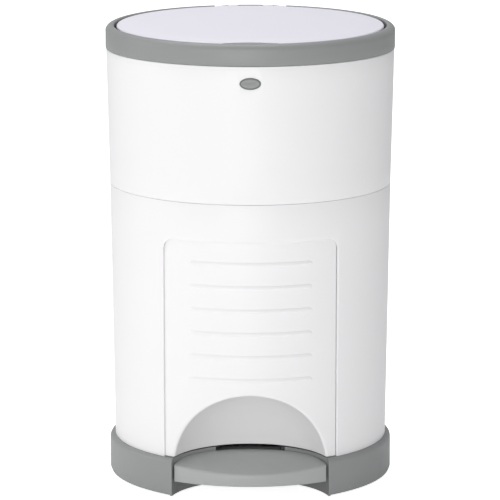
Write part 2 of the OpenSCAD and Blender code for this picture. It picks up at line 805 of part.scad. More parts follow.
module trap_frame() {
    color([0.82, 0.82, 0.82]) difference() {
        union() {
            difference() {
                translate([0, 0, frame_z]) tube(frame_r, throat_r, frame_h - 0.1);
            }
            for (s = [-1, 1]) mirror([s < 0 ? 1 : 0, 0, 0]) translate([0, 0, throat_z - 3])
                intersection() {
                    cylinder(h = 2.9, r = throat_r + 1);
                    translate([flap_side + 4, -far, 0]) cube([far, 2 * far, 3]);
                }
        }
        for (s = [-1, 1]) translate([s * trap_x, 0, trap_z])
            rod_y_dir(trap_pin_r + run_fit, -far, far);
        for (s = [-1, 1]) translate([s * trap_x, 0, trap_z])
            rod_y_dir(hub_r + move_gap, -flap_web - 2, flap_web + 2);
        quarter_turns(throat_r + 8) cylinder(h = far, r = screw_r + 0.1);
    }
}

module frame_screws() {
    color("dimgray") quarter_turns(throat_r + 8) translate([0, 0, frame_z])
        rotate([180, 0, 0]) screw(frame_h + 2);
}

module trap_springs() {
    turns = 5;
    pitch = 1.8;
    r = trap_pin_r + 0.5;
    color("silver") for (s = [-1, 1]) translate([s * trap_x, bearing_y + 6, trap_z])
        rotate([-90, 0, 0]) rotate_extrude() polygon(concat(
            [[r, 0]],
            [for (i = [0 : turns - 1], k = [0, 1]) [r + 1 + k * 0.8, (i + k / 2) * pitch]],
            [[r + 1, turns * pitch], [r, turns * pitch]]));
}

// Trap flap for the side s, with its edges clear of the frame
module flap(s) {
    difference() {
        union() {
            translate([0, 0, trap_z - flap_t]) intersection() {
                cylinder(h = flap_t, r = flap_r);
                translate([s > 0 ? 0.8 : -flap_side, -far, 0])
                    cube([flap_side - 0.8, 2 * far, flap_t]);
            }
            translate([s > 0 ? flap_side - 3 : -trap_x, -flap_web, trap_z - flap_t])
                cube([trap_x - flap_side + 3, 2 * flap_web, flap_t]);
            translate([s * trap_x, 0, trap_z]) rod_y_dir(hub_r, -flap_web, flap_web);
        }
        translate([s * trap_x, 0, trap_z])
            rod_y_dir(trap_pin_r + seat_gap, -far, far);
    }
}

module trap_flap_left() {
    color([0.95, 0.95, 0.95]) flap(-1);
}

module trap_flap_right() {
    color([0.95, 0.95, 0.95]) flap(1);
}

// Shaft for the side s with its heel, which the yoke lifts
module trap_shaft(s) {
    a = trap_open / 2;
    color("silver") translate([s * trap_x, 0, trap_z]) {
        rod_y_dir(trap_pin_r, shaft_y0, shaft_y1 - 1);
        rod_y_dir(4, yoke_y0 + 0.5, shaft_y1);
        mirror([s < 0 ? 1 : 0, 0, 0]) rotate([0, a, 0]) {
            translate([1, yoke_y0 + 1, -1.5])
                cube([trap_heel_r - 1, shaft_y1 - yoke_y0 - 1.5, 3]);
            translate([trap_heel_r, 0, 0]) rod_y_dir(nose_r, yoke_y0 + 0.5, shaft_y1);
        }
    }
}

module trap_shaft_left() {
    trap_shaft(-1);
}

module trap_shaft_right() {
    trap_shaft(1);
}

module flap_seal(s) {
    color([0.25, 0.25, 0.25]) translate([0, 0, trap_z + 0.1]) intersection() {
        cylinder(h = 1.2, r = flap_r - 2);
        translate([s > 0 ? 1 : -9, -far, 0]) cube([8, 2 * far, 3]);
    }
}

module trap_seal_left() {
    flap_seal(-1);
}

module trap_seal_right() {
    flap_seal(1);
}

module latch_tongue() {
    color([0.7, 0.7, 0.7]) {
        bar(tongue_w, -tongue_r, -tongue_r + tongue_t, button_z - 8, ring_z - deck_t - 0.01);
        bar(tongue_w, -ledge_r - 1.8, -tongue_r + tongue_t, ledge_z - 2.4, ledge_z - 0.4);
    }
}

// ---- lid ----

lid_screw_at = lid_r - 21;
pan_r = lid_r - notch_deep - 3.5;

module lid_knuckle(x, w, grow = 0) {
    translate([x, lid_y, lid_z]) pin_x(lid_knuckle_r + grow, w);
}

module lid_cover() {
    t = 2.4;
    round_r = 2.2;
    steps = 8;
    r1 = lid_r - 3;
    r2 = lid_r - 5;
    edge = [for (a = [-90 : 30 : 90])
        [lid_r - round_r * (1 - cos(a)), round_r * (sin(a) - 1)]];
    rise = [for (i = [0 : steps]) let(r = r1 * (1 - i / steps))
        [r, lid_rise * (1 - pow(r / r1, 2))]];
    under = [for (i = [steps : -1 : 0]) let(r = r2 * (1 - i / steps))
        [r, lid_rise * (1 - pow(r / r2, 2)) - t]];
    side_w = lid_barrel_half - lid_post_x - lid_knuckle_w / 2 - 0.5;
    color([0.95, 0.94, 0.96]) difference() {
        union() {
            on_rim() rotate_extrude() polygon(concat(edge, rise, under));
            on_rim() quarter_turns(lid_screw_at) translate([0, 0, -1.9])
                cylinder(h = 2.6, r = boss_r);
            lid_knuckle(0, 2 * lid_post_x - lid_knuckle_w - 1);
            for (s = [-1, 1]) lid_knuckle(s * (lid_barrel_half - side_w / 2), side_w);
        }
        for (s = [-1, 1])
            lid_knuckle(s * lid_post_x, lid_knuckle_w + 0.98, move_gap);
        translate([0, lid_y, lid_z]) pin_x(lid_pin_r + run_fit, 2 * lid_barrel_half + 2);
        on_rim() quarter_turns(lid_screw_at) translate([0, 0, -lid_t])
            cylinder(h = 5.4, r = screw_r + seat_gap);
        finger_notch();
    }
}

// Shallow notch in the lid's front edge, for lifting it by hand
module finger_notch() {
    y = lid_r - notch_deep;
    sag = y - sqrt(lid_r * lid_r - notch_half * notch_half);
    r = (notch_half * notch_half + sag * sag) / (-2 * sag);
    translate([0, -y - r, ring_z]) cylinder(h = far, r = r);
}

module lid_pan() {
    color([0.92, 0.92, 0.92]) difference() {
        on_rim() translate([0, 0, -lid_t]) {
            cylinder(h = 1, r = pan_r);
            tube(pan_r, pan_r - 2.5, 2.2);
            quarter_turns(lid_screw_at) cylinder(h = 2.5, r = boss_r);
        }
        on_rim() quarter_turns(lid_screw_at) translate([0, 0, -lid_t - 1])
            cylinder(h = 12, r = screw_r + 0.1);
    }
}

module lid_arm() {
    z1 = -lid_t - 0.02;
    y1 = lid_r - 7;
    color([0.6, 0.61, 0.62]) {
        difference() {
            on_rim() bar(40, mouth_r + 8, y1, z1 - 2, z1);
            for (s = [-1, 1]) translate([s * 14, mouth_r + 16, 0])
                cylinder(h = far, r = screw_r + 0.1);
        }
        bar(6, nose_y - nose_r, lid_y - 8.5, nose_z, rim_at(nose_y) - lid_t - 1);
        translate([0, nose_y, nose_z]) pin_x(nose_r, 6);
    }
}

module lid_hinge_pin() {
    color("silver") translate([0, lid_y, lid_z]) pin_x(lid_pin_r, 2 * lid_barrel_half - 3);
}

module lid_seal() {
    color([0.3, 0.3, 0.3]) on_rim() translate([0, 0, -lid_t - seal_h])
        tube(mouth_r + 4, mouth_r - 1, seal_h - 0.02);
}

module lid_screws() {
    color("dimgray") on_rim() quarter_turns(lid_screw_at) translate([0, 0, -lid_t - 0.01])
        rotate([180, 0, 0]) screw(5.2);
}

// ---- button ----

module button_bezel() {
    y0 = button_y - 0.4;
    color([0.45, 0.46, 0.47]) difference() {
        union() {
            button_bar(bezel_w, y0, button_y + wall + 3.5);
            button_bar(bezel_w + 1.5, button_y + wall + 1.5, button_y + wall + 3.5);
        }
        button_bar(button_gap, y0 - 1, button_y + wall + 1.4);
        translate([0, 0, button_z]) rod_y_dir(stem_r + run_fit, -far, 0);
    }
}

module button_cap() {
    color([0.6, 0.61, 0.61]) {
        button_bar(0, button_y - 0.9, button_y + wall + 0.8 - button_travel);
        translate([0, 0, button_z]) rod_y_dir(stem_r, button_y - 0.5, button_y + stem_l);
    }
}

module button_spring() {
    color("silver") translate([0, 0, button_z])
        difference() {
            rod_y_dir(4.4, button_y + wall + 0.9 - button_travel, button_y + wall + 1.3);
            rod_y_dir(3.4, button_y - 1, button_y + 12);
        }
}

// ---- front door ----

ridge_w = 2.2;
ridge_half_angle = 26;

module door_hinge_trim() {
    on_door_axis() translate([0, 0, -20]) difference() {
        translate([0, -30, 0]) cube([30, 60, far]);
        translate([0, 0, -1]) cylinder(h = far + 2, r = door_edge_r);
    }
}

module door() {
    z1 = door_top;
    face0 = low_r(door_z0) - door_recess;
    face1 = low_r(z1) - door_recess;
    color([0.95, 0.95, 0.95]) difference() {
        union() {
            difference() {
                intersection() {
                    cone_shell(door_z0, z1, face0, face1, wall);
                    door_block(0);
                }
                translate([0, niche_y, scoop_z]) sphere(r = scoop_r + 1);
            }
            intersection() {
                difference() {
                    translate([0, niche_y, scoop_z]) sphere(r = scoop_r + wall);
                    translate([0, niche_y, scoop_z]) sphere(r = scoop_r);
                }
                translate([0, 0, door_z0]) cylinder(h = z1 - door_z0, r1 = face0, r2 = face1);
            }
            for (i = [0 : 1 : ridge_count - 1]) door_ridge(ridge_z + i * ridge_step);
            on_door_axis() cylinder(h = 14, r = door_boss_r);
            on_door_axis() translate([0, 0, door_axis_l - 20])
                cylinder(h = 14, r = door_boss_r);
        }
        door_hinge_trim();
        on_door_axis() translate([0, 0, -5]) cylinder(h = 15, r = door_pin_r + seat_gap);
        on_door_axis() translate([0, 0, door_axis_l - 12])
            cylinder(h = 15, r = door_pin_r + seat_gap);
    }
}

module door_ridge(z) {
    r = low_r(z) - door_recess;
    rotate_extrude(angle = 2 * ridge_half_angle, start = -90 - ridge_half_angle)
        polygon([[r - 1, z - ridge_w], [r + 0.9, z - 0.9], [r + 1.2, z + 0.2],
                 [r + 0.9, z + 0.9], [r - 1, z + ridge_w]]);
}

module door_pins() {
    color("silver") {
        on_door_axis() translate([0, 0, -10]) cylinder(h = 20, r = door_pin_r);
        on_door_axis() translate([0, 0, door_axis_l - 12]) cylinder(h = 20, r = door_pin_r);
    }
}

module door_catch() {
    catch_h = 18;
    z = (door_z0 + door_top) / 2 + 11;
    x = door_half - 6;
    y = -sqrt(pow(low_r(z) - door_recess - wall, 2) - x * x) + seat_gap;
    color([0.8, 0.8, 0.8]) {
        translate([-x, y, z]) cube([3, 13, catch_h]);
        translate([-x - 6.5, y + 9, z]) cube([9, 3, catch_h]);
    }
}

base();
base_feet();
lower_shell();
upper_shell();
shelf_ring();
mech_cover();
rod_channel();
refill_tray();
film_pack();
cutter_body();
cutter_blade();
hinge_bracket();
collar_hinge_pin();
button_bezel();
pedal_axle();
shell_screws();
shelf_screws();
cover_screws();
bracket_screws();
pedal_pad();
pedal_lever();
pedal_screws();
push_rod();
trap_yoke();
door();
door_pins();
door_catch();
button_cap();
button_spring();
top_ring();
hopper();
trap_frame();
trap_springs();
frame_screws();
latch_tongue();
lid_hinge_pin();
lid_cover();
lid_pan();
lid_arm();
lid_seal();
lid_screws();
trap_flap_left();
trap_shaft_left();
trap_seal_left();
trap_flap_right();
trap_shaft_right();
trap_seal_right();
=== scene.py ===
import math

import bpy
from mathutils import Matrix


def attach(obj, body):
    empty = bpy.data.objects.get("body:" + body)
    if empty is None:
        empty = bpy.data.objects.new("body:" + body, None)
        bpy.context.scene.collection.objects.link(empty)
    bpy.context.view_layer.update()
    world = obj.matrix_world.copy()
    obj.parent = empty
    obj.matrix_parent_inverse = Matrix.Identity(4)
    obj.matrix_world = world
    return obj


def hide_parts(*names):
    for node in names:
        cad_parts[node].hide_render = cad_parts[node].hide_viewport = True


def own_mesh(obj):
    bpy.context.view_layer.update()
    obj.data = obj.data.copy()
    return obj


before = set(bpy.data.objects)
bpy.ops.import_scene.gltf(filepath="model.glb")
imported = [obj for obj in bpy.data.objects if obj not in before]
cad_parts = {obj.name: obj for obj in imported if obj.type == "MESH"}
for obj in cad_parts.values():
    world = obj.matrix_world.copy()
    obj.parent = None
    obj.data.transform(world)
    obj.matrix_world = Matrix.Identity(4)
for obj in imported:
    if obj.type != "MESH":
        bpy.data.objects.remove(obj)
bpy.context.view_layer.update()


# ---- studio ----
# A pale paper floor under a plain white sky, lit by three soft boxes. The camera
# stands in front of the bin, a little above its lid, with a long lens.
scene = bpy.context.scene
scene.view_settings.view_transform = "Standard"
camera = bpy.data.objects.new("camera", bpy.data.cameras.new("camera"))
scene.collection.objects.link(camera)
camera.data.lens = 240.73
camera.data.sensor_width = 36
camera.data.clip_end = 60
camera.data.shift_x = -0.0006
camera.location = (0, -3.7402, 0.9981)
camera.rotation_euler = (math.radians(78.7623), 0, 0)
scene.camera = camera


def soft_box(name, place, aim, size, power):
    """A square area light that points at a spot."""
    light = bpy.data.objects.new(name, bpy.data.lights.new(name, "AREA"))
    scene.collection.objects.link(light)
    light.data.size = size
    light.data.energy = power
    light.location = place
    away = [a - b for a, b in zip(place, aim)]
    flat = math.hypot(away[0], away[1])
    light.rotation_euler = (math.atan2(flat, away[2]), 0, math.atan2(away[0], -away[1]))


soft_box("side", (-2.8191, 0, 1.2761), (0, 0, 0.25), 1.6, 17.3)
soft_box("top", (-0.3, 0.6, 2.6), (0, 0, 0.3), 1.8, 28.4)
soft_box("front", (-0.4, -3.0, 0.35), (0, 0, 0.15), 1.4, 41)

world = bpy.data.worlds.new("studio")
scene.world = world
world.use_nodes = True
room = world.node_tree
room.nodes.clear()
seen = room.nodes.new("ShaderNodeBackground")
seen.inputs["Color"].default_value = (1, 1, 1, 1)
lit = room.nodes.new("ShaderNodeBackground")
lit.inputs["Color"].default_value = (0.97, 0.98, 1, 1)
lit.inputs["Strength"].default_value = 0.483
either = room.nodes.new("ShaderNodeMixShader")
ray = room.nodes.new("ShaderNodeLightPath")
sky = room.nodes.new("ShaderNodeOutputWorld")
room.links.new(ray.outputs["Is Camera Ray"], either.inputs[0])
room.links.new(lit.outputs[0], either.inputs[1])
room.links.new(seen.outputs[0], either.inputs[2])
room.links.new(either.outputs[0], sky.inputs[0])

bpy.ops.object.select_all(action="DESELECT")
bpy.ops.mesh.primitive_plane_add(size=24, location=(0, 6, 0))
floor = bpy.context.object
floor.name = "floor"
bpy.ops.object.transform_apply(location=True)
paper = bpy.data.materials.new("floor_paper")
paper.use_nodes = True
sheet = paper.node_tree
matt = sheet.nodes["Principled BSDF"]
matt.inputs["Roughness"].default_value = 0.9
matt.inputs["Emission Color"].default_value = (1, 1, 1, 1)
weave = sheet.nodes.new("ShaderNodeTexNoise")
weave.inputs["Scale"].default_value = 40
paler = sheet.nodes.new("ShaderNodeMix")
paler.data_type = "RGBA"
paler.inputs["A"].default_value = (0.95, 0.95, 0.95, 1)
paler.inputs["B"].default_value = (0.97, 0.97, 0.97, 1)
place = sheet.nodes.new("ShaderNodeTexCoord")
straight = sheet.nodes.new("ShaderNodeLightPath")
glow = sheet.nodes.new("ShaderNodeMapRange")
glow.inputs["To Min"].default_value = 0.06
glow.inputs["To Max"].default_value = 0.85
sheet.links.new(place.outputs["Object"], weave.inputs["Vector"])
sheet.links.new(weave.outputs["Fac"], paler.inputs["Factor"])
sheet.links.new(paler.outputs["Result"], matt.inputs["Base Color"])
sheet.links.new(straight.outputs["Is Camera Ray"], glow.inputs["Value"])
sheet.links.new(glow.outputs[0], matt.inputs["Emission Strength"])
floor.data.materials.append(paper)


# ---- base ----
# The skirted foot of the bin: one moulding of textured grey polypropylene with a
# floor, a round niche for the pedal, four screw towers and two posts for its axle.
def bare():
    """Nothing selected, so that an operator acts on its own piece alone."""
    if bpy.context.object and bpy.context.object.mode != "OBJECT":
        bpy.ops.object.mode_set(mode="OBJECT")
    bpy.ops.object.select_all(action="DESELECT")


def only(piece):
    """The piece alone selected and active."""
    bare()
    piece.select_set(True)
    bpy.context.view_layer.objects.active = piece


def weld(piece, reach=2e-6, turn=True):
    """Doubles merged and faces turned outwards."""
    only(piece)
    bpy.ops.object.mode_set(mode="EDIT")
    bpy.ops.mesh.select_all(action="SELECT")
    bpy.ops.mesh.remove_doubles(threshold=reach)
    if turn:
        bpy.ops.mesh.normals_make_consistent(inside=False)
    bpy.ops.object.mode_set(mode="OBJECT")


def settle(piece):
    """Puts a piece's place into its mesh."""
    only(piece)
    bpy.ops.object.transform_apply(location=True, rotation=True, scale=True)
    return piece


def arc(at_r, at_z, radius, start, end, steps):
    """Points of a rounded corner in a turned profile, angles in degrees."""
    turn = [math.radians(start + (end - start) * i / steps) for i in range(steps + 1)]
    return [(at_r + radius * math.cos(a), at_z + radius * math.sin(a)) for a in turn]


def turned(name, rows, steps=192, closed=True):
    """A circle extruded and scaled through rows of (radius, height)."""
    bare()
    r, z = rows[0]
    bpy.ops.mesh.primitive_circle_add(vertices=steps, radius=r, location=(0, 0, z))
    piece = bpy.context.object
    piece.name = name
    bpy.ops.object.transform_apply(location=True)
    bpy.ops.object.mode_set(mode="EDIT")
    for r1, z1 in rows[1:] + (rows[:1] if closed else []):
        bpy.ops.mesh.extrude_edges_move(TRANSFORM_OT_translate={"value": (0, 0, z1 - z)})
        if r1 == 0:
            bpy.ops.mesh.merge(type="CENTER")
        elif r1 != r:
            k = r1 / r
            bpy.ops.transform.resize(value=(k, k, 1), center_override=(0, 0, z1))
        r, z = r1, z1
    weld(piece)
    return piece


def drum(radius, low, high, at=(0, 0), steps=64, name="tool"):
    """A closed upright cylinder between two heights."""
    bare()
    bpy.ops.mesh.primitive_cylinder_add(
        vertices=steps, radius=radius, depth=high - low,
        location=(at[0], at[1], (low + high) / 2))
    piece = bpy.context.object
    piece.name = name
    return settle(piece)


def lying(radius, start, end, steps=48, name="tool"):
    """A closed cylinder along X or Y from one point to another."""
    bare()
    middle = [(a + b) / 2 for a, b in zip(start, end)]
    along_x = abs(end[0] - start[0]) > abs(end[1] - start[1])
    turn = (0, math.pi / 2, 0) if along_x else (math.pi / 2, 0, 0)
    bpy.ops.mesh.primitive_cylinder_add(
        vertices=steps, radius=radius, depth=math.dist(start, end), location=middle,
        rotation=turn)
    piece = bpy.context.object
    piece.name = name
    return settle(piece)


def block(low, high, name="tool"):
    """A box between two corners."""
    bare()
    middle = [(a + b) / 2 for a, b in zip(low, high)]
    bpy.ops.mesh.primitive_cube_add(size=1, location=middle)
    piece = bpy.context.object
    piece.name = name
    piece.scale = [b - a for a, b in zip(low, high)]
    return settle(piece)


def apply(piece, kind, **settings):
    """One modifier, set and applied."""
    only(piece)
    step = piece.modifiers.new(kind.lower(), kind)
    for key, value in settings.items():
        setattr(step, key, value)
    bpy.ops.object.modifier_apply(modifier=step.name)


def join_solid(piece, *tools):
    """Makes the tools one solid with the piece."""
    for tool in tools:
        apply(piece, "BOOLEAN", operation="UNION", object=tool, solver="EXACT")
        bpy.data.objects.remove(tool)


def cut(piece, *tools, keep=False):
    """Takes the tools out of the piece, or keeps only what is inside them."""
    how = "INTERSECT" if keep else "DIFFERENCE"
    for tool in tools:
        apply(piece, "BOOLEAN", operation=how, object=tool, solver="EXACT")
        bpy.data.objects.remove(tool)


def soften(piece, width, steps=2, angle=32, crumbs=1.5e-4):
    """Moulded edges: small crumbs of the cut are merged, then sharp edges are rounded."""
    weld(piece, crumbs, turn=False)
    apply(piece, "BEVEL", width=width, segments=steps, limit_method="ANGLE",
          angle_limit=math.radians(angle), use_clamp_overlap=True, miter_outer="MITER_ARC")


def smooth(piece, angle=38):
    only(piece)
    bpy.ops.object.shade_smooth_by_angle(angle=math.radians(angle))


WALL, LOW_R = 0.0025, 0.155
SKIRT_R, SKIRT_TOP, SKIRT_ROUND = 0.161, 0.044, 0.0055
NICHE_Y, NICHE_R = -0.159, 0.091
FLOOR_Z, FLOOR_UNDER_Z, FOOT_Z = 0.0065, 0.004, 0.0015
SPIGOT_R, SPIGOT_IN, SPIGOT_TOP, LEDGE_Z = 0.15245, 0.15045, 0.052, 0.0415
AXLE_X, AXLE_Y, AXLE_Z = 0.038, -0.015, 0.022
POST_R, POST_FOOT = 0.004, 0.0042
SCREW_AT, LOW_SCREWS_R, FEET_R = (45, 135, 225, 315), 0.14595, 0.14
COVER_POSTS = ((-0.058, 0.07), (0.058, 0.07), (-0.1, -0.07), (0.1, -0.07))


def round_about(radius, angles):
    return [(radius * math.cos(math.radians(a)), radius * math.sin(math.radians(a)))
            for a in angles]


base = turned("base_moulding", (
    [(SKIRT_R - 0.004, FOOT_Z), (SKIRT_R - 0.0012, 0.0026), (SKIRT_R, SKIRT_ROUND)]
    + arc(SKIRT_R - SKIRT_ROUND, SKIRT_TOP - SKIRT_ROUND, SKIRT_ROUND, 0, 90, 8)
    + [(SPIGOT_R, SKIRT_TOP), (SPIGOT_R, SPIGOT_TOP), (SPIGOT_IN, SPIGOT_TOP),
       (SPIGOT_IN, LEDGE_Z), (SKIRT_R - 0.0065, LEDGE_Z), (SKIRT_R - WALL, LEDGE_Z - 0.004),
       (SKIRT_R - WALL, FLOOR_Z), (0.02, FLOOR_Z), (0.02, FLOOR_UNDER_Z),
       (SKIRT_R - 0.0065, FLOOR_UNDER_Z), (SKIRT_R - 0.0065, FOOT_Z)]))
join_solid(base, drum(0.0202, FLOOR_UNDER_Z, FLOOR_Z, steps=192))
cut(base, drum(NICHE_R, -0.01, 0.2, (0, NICHE_Y), 192))
cut(base, block((-0.102, -0.3, SKIRT_TOP + 0.0002), (0.102, 0, 0.1)))
niche = drum(NICHE_R + WALL, FOOT_Z, SKIRT_TOP - 0.0005, (0, NICHE_Y), 192, "niche")
cut(niche, drum(NICHE_R, -0.01, 0.1, (0, NICHE_Y), 192))
cut(niche, drum(SKIRT_R - 0.0006, -0.01, 0.1, steps=192), keep=True)
cut(niche, block((-0.039, -0.3, 0.011), (0.039, 0.02, 0.1)))
cut(niche, block((-0.2, -0.3, SKIRT_TOP - 0.008), (0.2, -LOW_R, 0.1)))
for x, y in round_about(LOW_SCREWS_R, SCREW_AT):
    tower = drum(POST_R, POST_FOOT, SKIRT_TOP - 0.0002, (x, y), 32)
    cut(tower, drum(0.0017, 0.0, 0.06, (x, y), 24))
    join_solid(base, tower)
for x, y in COVER_POSTS:
    join_solid(base, drum(POST_R, POST_FOOT, SKIRT_TOP + 0.003, (x, y), 32))
for side in (-1, 1):
    x = side * AXLE_X
    post = block((x - 0.003, AXLE_Y - 0.009, POST_FOOT),
                 (x + 0.003, AXLE_Y + 0.009, AXLE_Z + 0.008))
    cut(post, lying(0.00305, (x - 0.01, AXLE_Y, AXLE_Z), (x + 0.01, AXLE_Y, AXLE_Z)))
    join_solid(base, post)
join_solid(base, niche)
for x, y in round_about(FEET_R, SCREW_AT):
    cup = drum(0.011, FOOT_Z, 0.0062, (x, y), 48)
    cut(cup, drum(0.0091, 0, 0.0036, (x, y), 48))
    join_solid(base, cup)
soften(base, 0.0005)


def new_group(name, inlets, outlets):
    """A shader group with plain numbers going in and coming out."""
    group = bpy.data.node_groups.new(name, "ShaderNodeTree")
    for label, value in inlets:
        socket = group.interface.new_socket(label, in_out="INPUT", socket_type="NodeSocketFloat")
        socket.default_value = value
    for label in outlets:
        group.interface.new_socket(label, in_out="OUTPUT", socket_type="NodeSocketFloat")
    return group, group.nodes.new("NodeGroupInput"), group.nodes.new("NodeGroupOutput")


def chain(tree, kind, **settings):
    """One more node in a tree, with its settings."""
    node = tree.nodes.new(kind)
    for key, value in settings.items():
        setattr(node, key, value)
    return node


grain, g_in, g_out = new_group(
    "moulded_grain", [("Grain size", 900.0), ("Sink size", 9.0), ("Sink share", 0.3)],
    ["Height", "Tone", "Sheen"])
spot = chain(grain, "ShaderNodeTexCoord")
fine = chain(grain, "ShaderNodeTexNoise")
fine.inputs["Detail"].default_value = 3
broad = chain(grain, "ShaderNodeTexNoise")
broad.inputs["Detail"].default_value = 1.5
scuff = chain(grain, "ShaderNodeTexNoise")
scuff.inputs["Scale"].default_value = 55
scuff.inputs["Detail"].default_value = 6
scuff.inputs["Roughness"].default_value = 0.7
sink = chain(grain, "ShaderNodeMath", operation="MULTIPLY")
total = chain(grain, "ShaderNodeMath", operation="ADD")
tone = chain(grain, "ShaderNodeMapRange")
tone.inputs["From Min"].default_value = 0.3
tone.inputs["From Max"].default_value = 0.7
sheen = chain(grain, "ShaderNodeMapRange")
sheen.inputs["From Min"].default_value = 0.35
sheen.inputs["From Max"].default_value = 0.65
for node in (fine, broad, scuff):
    grain.links.new(spot.outputs["Object"], node.inputs["Vector"])
grain.links.new(g_in.outputs["Grain size"], fine.inputs["Scale"])
grain.links.new(g_in.outputs["Sink size"], broad.inputs["Scale"])
grain.links.new(broad.outputs["Fac"], sink.inputs[0])
grain.links.new(g_in.outputs["Sink share"], sink.inputs[1])
grain.links.new(fine.outputs["Fac"], total.inputs[0])
grain.links.new(sink.outputs[0], total.inputs[1])
grain.links.new(broad.outputs["Fac"], tone.inputs["Value"])
grain.links.new(scuff.outputs["Fac"], sheen.inputs["Value"])
grain.links.new(total.outputs[0], g_out.inputs["Height"])
grain.links.new(tone.outputs[0], g_out.inputs["Tone"])
grain.links.new(sheen.outputs[0], g_out.inputs["Sheen"])


def plastic(name, light, dark, gloss, coarse, depth, size=900, sinks=9.0, coat=0.0):
    """A moulded plastic: two close tones, a roughness range and the depth of its grain."""
    material = bpy.data.materials.new(name)
    material.use_nodes = True
    tree = material.node_tree
    skin = tree.nodes["Principled BSDF"]
    skin.inputs["Coat Weight"].default_value = coat
    skin.inputs["Coat Roughness"].default_value = 0.12
    marks = chain(tree, "ShaderNodeGroup", node_tree=grain)
    marks.inputs["Grain size"].default_value = size
    marks.inputs["Sink size"].default_value = sinks
    tint = chain(tree, "ShaderNodeMix", data_type="RGBA")
    tint.inputs["A"].default_value = (*light, 1)
    tint.inputs["B"].default_value = (*dark, 1)
    rough = chain(tree, "ShaderNodeMapRange")
    rough.inputs["To Min"].default_value = gloss
    rough.inputs["To Max"].default_value = coarse
    bump = chain(tree, "ShaderNodeBump")
    bump.inputs["Distance"].default_value = depth
    tree.links.new(marks.outputs["Tone"], tint.inputs["Factor"])
    tree.links.new(tint.outputs["Result"], skin.inputs["Base Color"])
    tree.links.new(marks.outputs["Sheen"], rough.inputs["Value"])
    tree.links.new(rough.outputs[0], skin.inputs["Roughness"])
    tree.links.new(marks.outputs["Height"], bump.inputs["Height"])
    tree.links.new(bump.outputs["Normal"], skin.inputs["Normal"])
    return material


def dress(piece, material):
    piece.data.materials.clear()
    piece.data.materials.append(material)


def fit(piece, body, node, material, angle=38):
    """A finished piece: its smooth faces, its material, its body and what it stands for."""
    smooth(piece, angle)
    dress(piece, material)
    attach(piece, body)
    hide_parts(node)


trim_grey = plastic("trim_grey", (0.285, 0.292, 0.288), (0.262, 0.268, 0.266),
                    0.42, 0.52, 0.00006, 1300, 8.0)
fit(base, "bin", "base", trim_grey)


# ---- feet ----
# Four round pads of black rubber, pressed into cups in the base's underside. Each
# stands on a raised ring round a shallow hollow, which grips the floor.
foot = turned("feet", [(0.0004, 0.0006), (0.0045, 0.0006), (0.0049, 0.0), (0.0074, 0.0),
                       (0.0083, 0.0004), (0.0088, 0.0012), (0.0088, 0.0034),
                       (0.0004, 0.0034)], 48)
pads = []
for x, y in round_about(FEET_R, SCREW_AT):
    pad = foot.copy()
    pad.data = foot.data.copy()
    scene.collection.objects.link(pad)
    pad.location = (x, y, 0)
    pads.append(settle(pad))
bpy.data.objects.remove(foot)


def gather(name, pieces):
    """Separate solids joined into one piece."""
    bare()
    for piece in pieces:
        piece.select_set(True)
    bpy.context.view_layer.objects.active = pieces[0]
    bpy.ops.object.join()
    whole = bpy.context.object
    whole.name = name
    return whole


feet = gather("rubber_feet", pads)
rubber = plastic("rubber", (0.045, 0.045, 0.047), (0.035, 0.035, 0.036),
                 0.62, 0.78, 0.00008, 1500)
fit(feet, "bin", "base_feet", rubber)


# ---- lower shell ----
# The tapered wall from the base to the seam, moulded in gloss white, with the door's
# opening in its front, sloping jambs, screw bosses and a strip that the door rests on.
SEAM_R, TOP_R, SEAM_Z, RING_Z, SEAM_GAP = 0.1591, 0.1623, 0.336, 0.489, 0.00012
SEAM_SCREWS_R, RIB_GAP = 0.14915, 0.0012
DOOR_HALF, DOOR_TOP, DOOR_FOOT = 0.095, 0.2935, 0.0452
DOOR_ROUND, DOOR_SUNK, OPENING_GAP = 0.010, 0.0015, 0.00015
HINGE_X, HINGE_Y, HINGE_LEAN = 0.0915, -0.119869, math.radians(0.9957)
LUG_Z, LUG_TOP, LUG_R = 0.2949, 0.304, 0.005
JAMB_OUT, JAMB_IN = 0.003, 0.003
REST_X, REST_WIDE, REST_SUNK = -0.0992, 0.007, 0.0044


def wall_r(z):
    """Outer radius of the body at a height."""
    if z < SEAM_Z:
        return LOW_R + (SEAM_R - LOW_R) * (z - SKIRT_TOP) / (SEAM_Z - SKIRT_TOP)
    return SEAM_R + (TOP_R - SEAM_R) * (z - SEAM_Z) / (RING_Z - SEAM_Z)


def walling(name, low, high, lip=0.0006, bands=8):
    """A tapered wall between two heights, with rounded rims."""
    a, b = wall_r(low), wall_r(high)
    foot, rise = low + lip, high - low - 2 * lip
    outside = [(a + (b - a) * i / bands, foot + rise * i / bands) for i in range(bands + 1)]
    return turned(name, [(a - lip, low), (a - lip * 0.3, low + lip * 0.3)] + outside + [
        (b - lip * 0.3, high - lip * 0.3), (b - lip, high), (b - WALL, high),
        (a - WALL, low)], 512)


def boss(x, y, low, high, wall):
    """A screw boss with its rib to the wall."""
    post = drum(POST_R, low, high, (x, y), 32)
    rib = block((0, -0.0012, low + 0.006),
                (wall - 1.02 * math.hypot(x, y) - RIB_GAP, 0.0012, high))
    rib.location = (x * 1.02, y * 1.02, 0)
    rib.rotation_euler = (0, 0, math.atan2(y, x))
    join_solid(post, settle(rib))
    cut(post, drum(0.00155, low - 0.01, high + 0.01, (x, y), 24))
    return post


